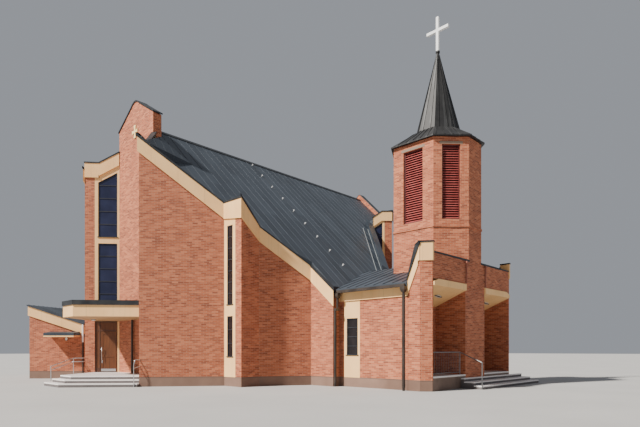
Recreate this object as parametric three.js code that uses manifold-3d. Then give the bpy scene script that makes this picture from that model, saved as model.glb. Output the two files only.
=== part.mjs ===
// A brick parish church: a steep folded roof over a nave with pointed window bays, a belfry over
// two side entrances, a pointed porch and a low annex. Millimetres, +Z up.
// The plan is given as [along, side]: along runs from the front pylon to the back, side is
// measured from the ridge towards the belfry. X follows along, Y is minus side.
import * as THREE from 'three';
import { ConvexGeometry } from 'three/addons/geometries/ConvexGeometry.js';
import { mergeVertices } from 'three/addons/utils/BufferGeometryUtils.js';
import Module from 'manifold-3d';

const wasm = await Module();
wasm.setup();

// Driving dimensions
const CROSSING = 9240; // front pylon to the belfry's centre line, where the origin lies
const GAP = 0.3; // joint between pieces that touch
const CLEAR = 0.8; // how much larger a piece is made to cut its seat in a neighbour
const SEAM = 2; // room between the roof sheets and the walls and boards around them
const OVER = 10; // how far a cutting solid runs past what it cuts
const SKY = 20000; // above everything, for cutting
const WALL = 380; // one and a half bricks
const PLINTH = 430;
const FLOOR = 480; // finished floor above the ground

// Main roof
const RIDGE = 13500;
const PITCH = 0.95; // fall of the roof for each unit across
const ROOF_DEPTH = 240;
const LAP = 200; // how far the halves of the nave reach over the ridge before they are joined
const FACET_ROOT = 60; // how deep the raised facets sink into the roof
const FACET = { fold: [1940, 2370], heights: [11400, 12400, 11260, 12100] };
const REAR_FACET = { heights: [10500, 10720, 11150], rise: 20 };

// Gable-topped slabs at both ends of the ridge
const PYLON = { half: 1840, depth: 450, spring: 13500, peak: 14600, flat: 420, sag: 0.18, steps: 6 };
const PYLON_COPING = { flare: 1.03, thick: 70, out: 40 };
const PYLON_CROSS = { centre: 13050, long: 275, short: 200, tip: 75, waist: 28, thick: 50 };
const REAR_PYLON = { along: 18480, depth: 450, half: 1840, spring: 12120, peak: 13850, flat: 60 };

// Outer corners of one nave side, from the front pylon's edge to the eaves and on to the rear pylon
const EDGE = [0, 1840];
const TIP = [-1360, 3050];
const C1 = [1700, 5400];
const C2 = [1700, 6700];
const C3 = [2750, 6700];
const C4 = [4900, 8000];
const C5 = [4900, 9430];
const WING_MEETS = [11430, 7900]; // where the wing's back wall meets the rear diagonal
const REAR_START = [15360, 3730]; // end of the rear diagonal, where the rear window wall starts
const REAR_TIP = [16270, 4690];
const REAR_EDGE = [18930, 1840]; // back edge of the rear pylon
const DIAGONAL_SLOPE = (REAR_START[1] - WING_MEETS[1]) / (REAR_START[0] - WING_MEETS[0]);
const EAVES_END = [WING_MEETS[0] + (C5[1] - WING_MEETS[1]) / DIAGONAL_SLOPE, C5[1]];
const EAVES_LINE = [C4, C5, EAVES_END, REAR_START];
const PARAPET = 300; // how far the rear diagonals stand above the roof
const WINDOW_WALL = distance(EDGE, TIP);
const REAR_WINDOW_WALL = distance(REAR_START, REAR_TIP);

// Undersides and tops of the cream boards over those corners
const BOARD_OUT = 60; // how far they stand proud of the brick
const BOARD_IN = 140; // how far they reach into the wall's top
const BOARD = {
  edge: [11750, 12450],
  tip: [10780, 11500],
  c1: [7870, 8620],
  c2: [7690, 8620],
  c3: [6770, 7470],
  c4: [5010, 5740],
  c5: [3760, 4530],
};
const BOARDS = [BOARD.edge, BOARD.tip, BOARD.c1, BOARD.c2, BOARD.c3, BOARD.c4, BOARD.c5];
const EAVES_BOARD = [3760, 4530];
const PROW_CAP = { low: 11050, high: 11850, length: 760, lift: 100 };
const REAR_CAP = { low: 10600, high: 11250, length: 710 };
const REAR_BOARD = { start: [10200, 10850], tip: [10600, 11250], edge: [11400, 12050] };

// Brick piers beside the windows
const PIER = 520;
const CORNER_PIER = 450;
const REAR_PIER = 500;

// Windows, each with panes given by their edges and heights
const WINDOW_DEPTH = 120;
const GLASS_BACK = 50; // the panes lie this far behind the frame's face
const CORNER_WINDOW = {
  left: 230, right: 200, upper: [3800, 7500], lower: [1370, 3270],
};
const FRONT_WINDOW = {
  left: 110, right: WINDOW_WALL - PIER - 180, foot: 3970, lower: [900, 3100], middle: [4060, 7490],
  upper: 7830, head: [11420, 10800],
};
const REAR_WINDOW = { left: 110, right: 170, lower: [1000, 5700], upper: 6000, head: 150 };

// Side wing: link walls, roof, the brick fins and the recesses between fins and tower
const LINK = 5350;
const REAR_LINK = 2 * CROSSING - LINK;
const LINK_END = 12800;
const WING_FLOOR = { start: 8900, back: 9640, inner: [[11140, 8200], [11140, 7700], [10000, 8000]] };
const LINK_WALL_TOP = 4600;
const LINK_BACK_TOP = 5400;
const LINK_BAY = { start: 290, end: 1220, glass: [440, 1100], low: 1450, high: 3150 };
const LINK_BOARD = { low: 3950, high: 4380, out: 50 };
const DOOR_WALL = 12800;
const FACADE = 14300;
const FACADE_TOP = 5700;
const FIN = {
  out: 5200, in: 5560, start: 13330, corner: 13900, front: 5510, foot: 4000, top: 5340,
};
const FIN_CAP = { out: 40, thick: 680, top: 6100, play: 0.5 };
const WING_ROOF = { eave: 5100, low: 4515, slope: 0.348, depth: 180, from: 6500, reach: 9000, inner: 7000 };
const CANOPY_TOP = 4620;
const CANOPY = { wall: 3700, face: 4350, out: 60 };
const RECESS_SIDE = 8310;
const LANDING = 600;
const SIDE_DOOR = { start: 6150, end: 7150, high: 2750, deep: 160, face: 100 };
const FLIGHT = { start: 7900, end: 14200, nosings: [14320, 14770, 15200], riser: 150, tread: 130 };
const RAIL = { radius: 21, top: 1000, foot: 120, lower: 12, baluster: 7, count: 16, in: 60, lean: 40 };
const GUTTER = {
  from: 9510, to: 13270, width: 115, low: 4320, high: 4440, pipe: 55, lap: 20, step: [95, 60],
  elbow: [3500, 3620],
};

// Belfry tower, an elongated octagon around the crossing line
const TOWER = { half: 1750, front: 610, shoulder: 13160, flank: 11000, back: 10400, backHalf: 610 };
const TOWER_AXIS = 12360;
const BELT = { top: 7330, out: 35, tall: 90 };
const EAVE = 11300;
const LOUVRE = {
  low: 7600, high: 10970, wide: 1040, narrow: 830, face: 90, depth: 320, ring: [9200, 9400], tie: 120,
};
const SPIRE = { overhang: 140, edge: 60, skirt: 12110, waist: 1000, peak: 16170, shell: 120, tip: 20 };
const CROSS = { top: 17850, bar: 130, arm: 1170, armHeight: 17200 };

// Main porch: canopy, platform and steps share the truncated square over the front court
const PORCH = { nose: -3360, half: 600, low: 3260, high: 3960, apron: 100, tread: 320, riser: 160 };
const DOOR = { hinge: 150, leaf: 850, top: 2700, face: 60, depth: 80, thick: 60, play: 6, sill: 12 };
const HINGE = {
  feet: [700, 2300], pin: 7, bore: 7.6, knuckle: 14, clear: 20, length: 60, bracket: 22, gap: 8, notch: 38,
  web: [36, 10],
};
const PORCH_RAIL = { points: [[-3450, -1950, 880], [-1950, -3060, 1260], [-1000, -3200, 1260]], drop: 190 };

// Annex in its own plan, [across, back] from its front left corner, and the passage to the nave
const ANNEX = {
  corner: [-2590, -8000], run: [0.687, 0.7266], width: 3150, depth: 4200, wall: 300,
  top: 4330, fall: 0.332, rise: 0.03, sheet: 60, verge: 560, proud: 60, eave: 110,
};
const PASSAGE = { depth: 1300, reach: 5300, roof: [2450, 2650], eave: 40 };
const ANNEX_CANOPY = { across: [1250, 3000], out: 800, low: 2560, high: 2780, fall: 0.05, slope: 0.12 };

const material = (color, roughness, metalness = 0) =>
  new THREE.MeshStandardMaterial({ color, roughness, metalness });
const BRICK = material(0xb5674a, 0.9);
const CREAM = material(0xe6c995, 0.7);
const ROOF = material(0x4a545c, 0.5, 0.6);
const STEEL = material(0xb9bcc0, 0.35, 0.9);
const LOUVRES = material(0x7a2622, 0.5, 0.2);
const GLASS = material(0x2a3550, 0.15);
const TIMBER = material(0x8a4a1c, 0.6);
const STONE = material(0xa9a2a0, 0.85);
const PIPE = material(0x3a302c, 0.5, 0.4);
const WHITE = material(0xe8eaec, 0.4, 0.3);

const group = new THREE.Group();

function at(along, side) {
  return [along - CROSSING, -side];
}

// A closed geometry as a solid that can be joined and cut
function solidOf(geometry) {
  const bare = geometry.clone();
  bare.deleteAttribute('normal');
  bare.deleteAttribute('uv');
  const merged = mergeVertices(bare, 1e-3);
  return new wasm.Manifold(new wasm.Mesh({
    numProp: 3,
    vertProperties: new Float32Array(merged.attributes.position.array),
    triVerts: new Uint32Array(merged.index.array),
  }));
}

function addMesh(name, solid, finish) {
  const { vertProperties, triVerts } = solid.getMesh();
  const geometry = new THREE.BufferGeometry();
  geometry.setAttribute('position', new THREE.BufferAttribute(vertProperties, 3));
  geometry.setIndex(new THREE.BufferAttribute(triVerts, 1));
  geometry.computeVertexNormals();
  const mesh = new THREE.Mesh(geometry, finish);
  mesh.name = name;
  group.add(mesh);
}

// The same solid on the other side of the ridge
function acrossRidge(solid) {
  const { vertProperties, triVerts } = solid.getMesh();
  const points = vertProperties.slice();
  for (let i = 1; i < points.length; i += 3) points[i] = -points[i];
  const triangles = triVerts.slice().reverse();
  return new wasm.Manifold(new wasm.Mesh({ numProp: 3, vertProperties: points, triVerts: triangles }));
}

// The same solid on the other side of the belfry's centre line
function acrossCrossing(solid) {
  const { vertProperties, triVerts } = solid.getMesh();
  const points = vertProperties.slice();
  for (let i = 0; i < points.length; i += 3) points[i] = -points[i];
  const triangles = triVerts.slice().reverse();
  return new wasm.Manifold(new wasm.Mesh({ numProp: 3, vertProperties: points, triVerts: triangles }));
}

function joined(solids) {
  return solids.reduce((whole, solid) => whole.add(solid));
}

// Convex block over plan corners, with one height for all corners or one for each
function block(corners, lows, highs) {
  const low = (i) => (Array.isArray(lows) ? lows[i] : lows);
  const high = (i) => (Array.isArray(highs) ? highs[i] : highs);
  const points = corners.flatMap(([along, side], i) => {
    const [x, y] = at(along, side);
    return [new THREE.Vector3(x, y, low(i)), new THREE.Vector3(x, y, high(i))];
  });
  return solidOf(new ConvexGeometry(points));
}

// Upright prism over any plan outline
function prism(corners, low, high) {
  const shape = new THREE.Shape(corners.map(([along, side]) => new THREE.Vector2(...at(along, side))));
  const geometry = new THREE.ExtrudeGeometry(shape, { depth: high - low, bevelEnabled: false });
  geometry.translate(0, 0, low);
  return solidOf(geometry);
}

function box(alongs, sides, low, high) {
  const [near, far] = alongs;
  const [inner, outer] = sides;
  return block([[near, inner], [far, inner], [far, outer], [near, outer]], low, high);
}

// Panel in an upright plane from one plan point to another, the outside on its right:
// the outline is [distance, height], the depth is measured back from the face
function panel(from, to, outline, face, depth) {
  const a = new THREE.Vector2(...at(...from));
  const b = new THREE.Vector2(...at(...to));
  const run = b.clone().sub(a).normalize();
  const outward = new THREE.Vector3(run.y, -run.x, 0);
  const shape = new THREE.Shape(outline.map(([s, z]) => new THREE.Vector2(s, z)));
  const geometry = new THREE.ExtrudeGeometry(shape, { depth, bevelEnabled: false });
  const basis = new THREE.Matrix4().makeBasis(
    new THREE.Vector3(run.x, run.y, 0), new THREE.Vector3(0, 0, 1), outward);
  basis.setPosition(a.x - outward.x * (face + depth), a.y - outward.y * (face + depth), 0);
  geometry.applyMatrix4(basis);
  return solidOf(geometry);
}

function rectangle(s0, s1, z0, z1) {
  return [[s0, z0], [s1, z0], [s1, z1], [s0, z1]];
}

function distance(from, to) {
  return Math.hypot(to[0] - from[0], to[1] - from[1]);
}

function between(from, to, s) {
  const t = s / distance(from, to);
  return [from[0] + (to[0] - from[0]) * t, from[1] + (to[1] - from[1]) * t];
}

function shifted(p, from, to, s) {
  const t = s / distance(from, to);
  return [p[0] + (to[0] - from[0]) * t, p[1] + (to[1] - from[1]) * t];
}

// Round bar between two points [along, side, height]
function rod(from, to, radius, sides = 8) {
  const a = new THREE.Vector3(...at(from[0], from[1]), from[2]);
  const b = new THREE.Vector3(...at(to[0], to[1]), to[2]);
  const geometry = new THREE.CylinderGeometry(radius, radius, a.distanceTo(b), sides);
  const turn = new THREE.Quaternion().setFromUnitVectors(
    new THREE.Vector3(0, 1, 0), b.clone().sub(a).normalize());
  geometry.applyQuaternion(turn);
  geometry.translate((a.x + b.x) / 2, (a.y + b.y) / 2, (a.z + b.z) / 2);
  return solidOf(geometry);
}

// A line of plan points moved inwards, mitred at its corners
function inset(points, depth) {
  const lines = points.slice(1).map((to, i) => {
    const from = points[i];
    const length = distance(from, to);
    const normal = [(to[1] - from[1]) / length, -(to[0] - from[0]) / length];
    return [from, to].map((p) => [p[0] + normal[0] * depth, p[1] + normal[1] * depth]);
  });
  const corners = lines.slice(1).map((line, i) => crossing(lines[i], line));
  return [lines[0][0], ...corners, lines.at(-1)[1]];
}

function crossing([a, b], [c, d]) {
  const r = [b[0] - a[0], b[1] - a[1]];
  const s = [d[0] - c[0], d[1] - c[1]];
  const t = ((c[0] - a[0]) * s[1] - (c[1] - a[1]) * s[0]) / (r[0] * s[1] - r[1] * s[0]);
  return [a[0] + r[0] * t, a[1] + r[1] * t];
}

const SIDE_LINE = [EDGE, TIP, C1, C2, C3, C4, C5, EAVES_END];
const NAVE_LINE = [...SIDE_LINE, REAR_START, REAR_TIP, REAR_EDGE];
const naveInset = (depth) => inset(NAVE_LINE, depth);

// Everything above the main roof's underside, inside the cream boards
function gableBand(low, high) {
  const reach = 12000;
  const foot = RIDGE - PITCH * reach;
  const outline = [[-reach, foot + low], [0, RIDGE + low], [reach, foot + low], [reach, foot + high],
    [0, RIDGE + high], [-reach, foot + high]];
  const shape = new THREE.Shape(outline.map(([y, z]) => new THREE.Vector2(y, z)));
  const geometry = new THREE.ExtrudeGeometry(shape, { depth: 2 * reach, bevelEnabled: false });
  const basis = new THREE.Matrix4().makeBasis(
    new THREE.Vector3(0, 1, 0), new THREE.Vector3(0, 0, 1), new THREE.Vector3(1, 0, 0));
  basis.setPosition(-reach, 0, 0);
  geometry.applyMatrix4(basis);
  return solidOf(geometry);
}

function halfNavePlan(depth) {
  const line = naveInset(depth).slice(0, -1);
  const start = PYLON.depth + GAP;
  const end = REAR_PYLON.along - GAP;
  const last = crossing(inset([REAR_TIP, REAR_EDGE], depth), [[end, 0], [end, 1000]]);
  return [[start, -LAP], [start, PYLON.half + GAP], ...line, last, [end, -LAP]];
}

const halfAboveRoof = prism(halfNavePlan(BOARD_IN), 0, SKY);
const aboveRoof = joined([halfAboveRoof, acrossRidge(halfAboveRoof)]).intersect(
  gableBand(-ROOF_DEPTH - GAP, 9000));
const halfBelowRoof = prism([[2000, 0], [2000, C5[1] + GAP], [EAVES_END[0], C5[1] + GAP],
  [WING_MEETS[0] + 100, WING_MEETS[1]], [WING_MEETS[0] + 100, 0]], 0, SKY);
const belowRoof = halfBelowRoof.intersect(gableBand(-14000, GAP));

// Heights of plan points on a run whose height changes evenly from one end to the other
function alongRun(points, from, to, start, end) {
  const length = distance(from, to);
  const run = [(to[0] - from[0]) / length, (to[1] - from[1]) / length];
  return points.map((p) => {
    const s = (p[0] - from[0]) * run[0] + (p[1] - from[1]) * run[1];
    return start + ((end - start) * s) / length;
  });
}

// Brick walls of one nave side between two corners of its line, mitred at the corners
function wallRun(points, tops, first, last) {
  const inner = inset(points, WALL);
  const runs = [];
  for (let i = first; i < last; i += 1) {
    const corners = [points[i], points[i + 1], inner[i + 1], inner[i]];
    runs.push(block(corners, 0, alongRun(corners, points[i], points[i + 1], tops[i], tops[i + 1])));
  }
  return joined(runs);
}

// Cream boards over a run of wall, each from its underside to its top
function boardRun(points, boards, first, last, grow) {
  const outer = inset(points, -BOARD_OUT - grow);
  const inner = inset(points, BOARD_IN + grow);
  const runs = [];
  for (let i = first; i < last; i += 1) {
    const past = (p, s) => shifted(p, points[i], points[i + 1], s);
    const corners = [past(outer[i], -grow), past(outer[i + 1], grow), past(inner[i + 1], grow),
      past(inner[i], -grow)];
    const heights = (n) => alongRun(corners, points[i], points[i + 1], boards[i][n], boards[i + 1][n]);
    runs.push(block(corners, heights(0).map((z) => z - grow), heights(1).map((z) => z + grow)));
  }
  return joined(runs);
}

// Front wing wall from the prow's tip to the corner window, with the brick pier at the tip
function wingWall() {
  const line = [EDGE, TIP, C1];
  const inner = inset(line, WALL);
  const pierStart = between(EDGE, TIP, WINDOW_WALL - PIER);
  const pierInner = between(inner[0], inner[1], WINDOW_WALL - PIER);
  const pier = block([pierStart, TIP, inner[1], pierInner], 0, PROW_CAP.low);
  const innerEnd = inset([TIP, C1, C2], WALL)[1];
  const corners = [TIP, C1, innerEnd, inner[1]];
  const wall = block(corners, 0, alongRun(corners, TIP, C1, BOARD.tip[0], BOARD.c1[0]));
  return joined([pier, wall]).subtract(aboveRoof).subtract(fascia(CLEAR));
}

// Side walls with the folded steps and the brick pier beside the corner window
function sideWall() {
  const tops = [0, 0, BOARD.c1[0], BOARD.c2[0], BOARD.c3[0], BOARD.c4[0], BOARD.c5[0]];
  const inner = inset(SIDE_LINE, WALL);
  const pierStart = between(C2, C1, CORNER_PIER);
  const pier = block([pierStart, C2, inner[3], [inner[3][0], pierStart[1]]], 0, BOARD.c2[0]);
  const plinth = block([shifted(C1, C1, C2, GAP), C2, inner[3], shifted(inner[2], C1, C2, GAP)], 0, PLINTH);
  return joined([pier, plinth, wallRun(SIDE_LINE, tops, 3, 6)]).subtract(aboveRoof).subtract(fascia(CLEAR));
}

function fascia(grow = 0, capTop = PROW_CAP.high) {
  const run = boardRun(SIDE_LINE, BOARDS, 1, 6, grow);
  const capStart = WINDOW_WALL - PROW_CAP.length;
  const face = -BOARD_OUT - grow;
  const depth = BOARD_OUT + BOARD_IN + 2 * grow;
  const cap = panel(EDGE, TIP, rectangle(capStart - grow, WINDOW_WALL + grow,
    PROW_CAP.low - grow, capTop + grow), face, depth);
  const verge = panel(EDGE, TIP, [[GAP - grow, BOARD.edge[0] - grow],
    [capStart, PROW_CAP.low + PROW_CAP.lift - grow], [capStart, capTop + grow],
    [GAP - grow, BOARD.edge[1] + grow]], face, depth);
  return joined([run, cap, verge]);
}

// A window unit: cream surround with sunk panes. Panes are [distance, distance, low, high]
function windowUnit(from, to, outline, panes) {
  const frame = panel(from, to, outline, 0, WINDOW_DEPTH);
  return panes.reduce((unit, pane) => unit.subtract(panel(from, to, pane, -1, GLASS_BACK + 1)), frame);
}

function cornerWindow() {
  const width = distance(C1, C2) - CORNER_PIER;
  const { left, right, upper, lower } = CORNER_WINDOW;
  const panes = [upper, lower].map(([low, high]) => rectangle(left, width - right, low, high));
  const fall = (BOARD.c1[0] - BOARD.c2[0]) / distance(C1, C2);
  const head = (s) => BOARD.c1[0] - fall * s - GAP;
  const outline = [[GAP, PLINTH + GAP], [width - GAP, PLINTH + GAP], [width - GAP, head(width)],
    [GAP, head(0)]];
  return windowUnit(C1, C2, outline, panes);
}

// The tall window between the front pylon and the prow's pier
function frontWindow(low) {
  const { left, right, upper, head } = FRONT_WINDOW;
  const end = WINDOW_WALL - PIER - GAP;
  const capStart = WINDOW_WALL - PROW_CAP.length;
  const slope = (BOARD.edge[0] - PROW_CAP.low - PROW_CAP.lift) / capStart;
  const headOf = (s) => BOARD.edge[0] - GAP - slope * s;
  const glassHead = (s) => head[0] - (s * (head[0] - head[1])) / right;
  const outline = [[GAP, low], [end, low], [end, PROW_CAP.low - GAP], [capStart, PROW_CAP.low - GAP],
    [capStart, headOf(capStart)], [GAP, headOf(0)]];
  const panes = [[[left, upper], [right, upper], [right, glassHead(right)], [left, glassHead(left)]],
    rectangle(left, right, ...FRONT_WINDOW.middle)];
  if (low < FRONT_WINDOW.foot) panes.push(rectangle(left, right, ...FRONT_WINDOW.lower));
  return windowUnit(EDGE, TIP, outline, panes);
}

// Left side: the eaves run straight from the last fold to the rear diagonal
function leftWallEnd() {
  return wallRun(EAVES_LINE, Array(4).fill(EAVES_BOARD[0]), 1, 2).subtract(aboveRoof)
    .subtract(eavesBoard(CLEAR));
}

function eavesBoard(grow = 0) {
  return boardRun(EAVES_LINE, Array(4).fill(EAVES_BOARD), 1, 2, grow).subtract(diagonalSeat());
}

// Space of the left diagonal wall, kept free by the eaves board
function diagonalSeat() {
  const line = [[2 * EAVES_END[0] - REAR_START[0], 2 * EAVES_END[1] - REAR_START[1]], REAR_START];
  const outer = inset(line, -9000);
  return prism([shifted(line[0], ...line, GAP), line[1], outer[1], outer[0]].toReversed(), -10, SKY);
}

// Rear walls of one side: the diagonal parapet wall, the tip's pier and the wall to the pylon
const diagonalTop = ([, side]) => RIDGE - PITCH * side + PARAPET;

function rearWalls(start, grow = 0) {
  const line = [start === WING_MEETS ? WING_MEETS : EAVES_END, REAR_START, REAR_TIP, REAR_EDGE];
  const outer = inset(line, -grow);
  const inner = inset(line, WALL + grow);
  const eaves = inset([C5, EAVES_END, REAR_START], WALL + grow)[1];
  const jamb = inset([REAR_START, REAR_TIP], WALL)[0];
  const heel = inner[1];
  const [first, last] = start === WING_MEETS
    ? [outer[0], inner[0]].map((p) => shifted(p, WING_MEETS, REAR_START, -grow))
    : [outer[0], eaves].map((p) => shifted(p, EAVES_END, REAR_START, GAP - 2 * grow));
  const diagonal = [first, outer[1], heel, last];
  const middle = [(outer[1][0] + heel[0]) / 2, (outer[1][1] + heel[1]) / 2];
  const inside = shifted(middle, REAR_START, EAVES_END, LAP / 2);
  const corner = [outer[1], jamb, heel, inside];
  const others = joined([
    block(corner, 0, corner.map((p) => diagonalTop(p) - PARAPET - ROOF_DEPTH - SEAM)),
    block([outer[1], outer[2], inner[2], heel], 0, PLINTH),
    rearPierAndWall(outer, inner)]);
  const parapet = block(diagonal, 0, diagonal.map((p) => diagonalTop(p) + grow));
  return joined([parapet, others]).subtract(pylonSeat());
}

// Brick pier at the rear tip and the wall behind it, under the cap and the sloping board
function rearPierAndWall(outer, inner) {
  const pierStart = REAR_WINDOW_WALL - REAR_PIER;
  const plan = [between(outer[1], outer[2], pierStart), outer[2], outer[3], inner[3], inner[2],
    shifted(inner[2], REAR_TIP, REAR_START, 60)];
  const over = inset([REAR_TIP, REAR_EDGE], -1000).concat(inset([REAR_TIP, REAR_EDGE], 1000).toReversed());
  const sloped = over.map((p, i) => shifted(p, REAR_TIP, REAR_EDGE, i === 0 || i === 3 ? -1000 : 1000));
  const heights = alongRun(sloped, REAR_TIP, REAR_EDGE, REAR_BOARD.tip[0], REAR_BOARD.edge[0]);
  return prism(plan, 0, SKY).subtract(block(sloped, heights.map((z) => z - CLEAR), SKY + 10))
    .subtract(capSeat()).subtract(aboveRoof);
}

function capSeat() {
  const width = REAR_WINDOW_WALL;
  const outline = rectangle(width - REAR_CAP.length, width + SEAM, REAR_CAP.low - CLEAR, SKY);
  return panel(REAR_START, REAR_TIP, outline, -BOARD_OUT - SEAM, BOARD_OUT + BOARD_IN + 2 * SEAM);
}

function pylonSeat() {
  const p = REAR_PYLON;
  return box([p.along - GAP, p.along + 2 * p.depth], [-p.half - GAP, p.half + GAP], -10, SKY);
}

// Gable-topped slab: the front pylon with its rounded peak, and its rear twin
function pylonProfile(p) {
  const profile = [[-p.half, 0], [p.half, 0], [p.half, p.spring]];
  for (let i = 0; i <= p.steps; i += 1) {
    const side = p.flat * (1 - (2 * i) / p.steps);
    const drop = (p.peak - p.spring) * p.sag * (side / p.flat) ** 2;
    profile.push([side, p.peak - drop]);
  }
  profile.push([-p.half, p.spring]);
  return profile;
}

function crossSlab(profile, start, depth) {
  const shape = new THREE.Shape(profile.map(([side, z]) => new THREE.Vector2(-side, z)));
  const geometry = new THREE.ExtrudeGeometry(shape, { depth, bevelEnabled: false });
  const basis = new THREE.Matrix4().makeBasis(
    new THREE.Vector3(0, 1, 0), new THREE.Vector3(0, 0, 1), new THREE.Vector3(1, 0, 0));
  basis.setPosition(start - CROSSING, 0, 0);
  geometry.applyMatrix4(basis);
  return solidOf(geometry);
}

function frontPylon() {
  return crossSlab(pylonProfile(PYLON), 0, PYLON.depth);
}

function pylonCoping() {
  const c = PYLON_COPING;
  const top = pylonProfile(PYLON).slice(2).map(([side, z]) => [side * c.flare, z + GAP]);
  const over = top.map(([side, z]) => [side, z + c.thick]).toReversed();
  return crossSlab([...top, ...over], -c.out, PYLON.depth + 2 * c.out);
}

function rearPylon() {
  const p = REAR_PYLON;
  const profile = [[-p.half, 0], [p.half, 0], [p.half, p.spring], [p.flat, p.peak], [-p.flat, p.peak],
    [-p.half, p.spring]];
  return crossSlab(profile, p.along, p.depth);
}

// Cream cap, window verge and board along the top of the rear walls
function rearBoards() {
  const width = REAR_WINDOW_WALL;
  const capStart = width - REAR_CAP.length;
  const depth = BOARD_OUT + BOARD_IN;
  const [low, high] = REAR_BOARD.start;
  const outline = [[3 * SEAM, low], [capStart, REAR_CAP.low], [width, REAR_CAP.low],
    [width, REAR_CAP.high], [capStart, REAR_CAP.high], [3 * SEAM, high]];
  const verge = panel(REAR_START, REAR_TIP, outline, -BOARD_OUT, depth);
  const line = [REAR_START, REAR_TIP, REAR_EDGE];
  const run = boardRun(line, [REAR_BOARD.start, REAR_BOARD.tip, REAR_BOARD.edge], 1, 2, 0);
  const stop = box([REAR_EDGE[0], REAR_EDGE[0] + 900], [-9000, 9000], 0, SKY);
  return joined([verge, run]).subtract(stop).subtract(pylonSeat());
}

function rearWindow() {
  const end = REAR_WINDOW_WALL - REAR_PIER - GAP;
  const capStart = REAR_WINDOW_WALL - REAR_CAP.length;
  const rise = (REAR_CAP.low - REAR_BOARD.start[0]) / (capStart - 3 * SEAM);
  const headOf = (s) => REAR_BOARD.start[0] + rise * (s - 3 * SEAM) - CLEAR;
  const outline = [[CLEAR, PLINTH + GAP], [end, PLINTH + GAP], [end, REAR_CAP.low - CLEAR],
    [capStart, REAR_CAP.low - CLEAR], [CLEAR, headOf(CLEAR)]];
  const { left, lower, upper, head } = REAR_WINDOW;
  const right = end - REAR_WINDOW.right;
  const panes = [[[left, upper], [right, upper], [right, headOf(right) - head], [left, headOf(left) - head]],
    rectangle(left, right, ...lower)];
  return windowUnit(REAR_START, REAR_TIP, outline, panes);
}

// Small cross with flared arms on the front pylon
function pylonCross() {
  const { centre, long, short, tip, waist, thick } = PYLON_CROSS;
  const upright = [[-tip, -long], [tip, -long], [waist, 0], [tip, long], [-tip, long], [-waist, 0]];
  const arms = upright.map(([a, b]) => [(b * short) / long, a]);
  return joined([upright, arms].map((outline) => crossSlab(outline.map(([s, z]) => [s, z + centre]),
    -thick - GAP, thick)));
}

// Main roof, with the raised facets that meet the prow's verges and the rear tips
function mainRoof() {
  const right = prism(roofPlan(true), 0, SKY);
  const left = acrossRidge(prism(roofPlan(false), 0, SKY));
  const sheet = joined([right, left]).intersect(gableBand(-ROOF_DEPTH, 0));
  const lifts = joined([raisedFacet(), rearFacet()]);
  return joined([sheet, lifts, acrossRidge(lifts)]);
}

// One half of the roof's plan. On the belfry's side it reaches the wing where that wall is missing
function roofPlan(wing) {
  const edge = BOARD_IN + SEAM;
  const line = naveInset(edge);
  const start = PYLON.depth + GAP;
  const parapet = inset([EAVES_END, REAR_START], WALL + SEAM);
  const open = [edge, WALL + SEAM].map((depth) => shifted(inset([WING_MEETS, REAR_START], depth)[0],
    REAR_START, WING_MEETS, SEAM));
  const turn = wing ? [line[7], ...open] : [crossing([line[6], line[7]], parapet)];
  const rear = rearRoofCorners(edge);
  return [[start, -LAP], [start, PYLON.half + GAP], ...line.slice(0, 7), ...turn, ...rear,
    [rear.at(-1)[0], -LAP]];
}

function rearRoofCorners(edge) {
  const end = REAR_PYLON.along - GAP;
  const heel = inset([EAVES_END, REAR_START, REAR_TIP], WALL + SEAM)[1];
  const jamb = shifted(inset([REAR_START, REAR_TIP], edge)[0], REAR_START, REAR_TIP, SEAM);
  const [, tip, last] = inset([REAR_START, REAR_TIP, REAR_EDGE], edge);
  return [heel, jamb, tip, crossing([tip, last], [[end, 0], [end, 1000]])];
}

const belowPlane = ([, side]) => RIDGE - PITCH * side - FACET_ROOT;

function raisedFacet() {
  const inner = naveInset(BOARD_IN + 3 * SEAM);
  const corners = [inner[1], [PYLON.depth + SEAM, PYLON.half + SEAM], FACET.fold, inner[0]];
  return block(corners, corners.map(belowPlane), FACET.heights);
}

function rearFacet() {
  const [heel, jamb, tip, edge] = rearRoofCorners(BOARD_IN + 3 * SEAM);
  const corners = [[heel[0] + SEAM, heel[1] - SEAM], jamb, tip, [edge[0] - SEAM, edge[1]]];
  const heights = [...REAR_FACET.heights, RIDGE - PITCH * edge[1] + REAR_FACET.rise];
  return block(corners, corners.map(belowPlane), heights);
}

function prowBoards() {
  const one = fascia(CLEAR);
  return one.add(acrossRidge(one));
}

// Floor slab inside the walls of the nave and the wing
function floorSlab() {
  const half = prism(halfNavePlan(WALL + GAP), 0, FLOOR);
  const links = [LINK + WALL + GAP, REAR_LINK - WALL - GAP];
  const back = LINK_END - WALL - GAP;
  const wing = prism([[links[0], WING_FLOOR.start], [links[0], back], [links[1], back],
    [links[1], WING_FLOOR.back], ...WING_FLOOR.inner], 0, FLOOR);
  return joined([half, acrossRidge(half), wing.subtract(prism(towerPlan(GAP), -OVER, SKY))]);
}

// Belfry
function towerPlan(grow) {
  const t = TOWER;
  const k = grow * Math.tan(Math.PI / 8);
  const half = [[t.front + k, FACADE + grow], [t.half + grow, t.shoulder + k], [t.half + grow, t.flank - k],
    [t.backHalf + k, t.back - grow]];
  const right = half.map(([a, side]) => [CROSSING + a, side]);
  const left = half.toReversed().map(([a, side]) => [CROSSING - a, side]);
  return [...right, ...left];
}

function towerTube(low, high) {
  return prism(towerPlan(0), low, high).subtract(prism(towerPlan(-WALL), low - OVER, high + OVER));
}

function recesses() {
  const front = box([FIN.in, RECESS_SIDE], [DOOR_WALL, FACADE + WALL], -OVER, CANOPY_TOP);
  return joined([front, acrossCrossing(front)]);
}

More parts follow.
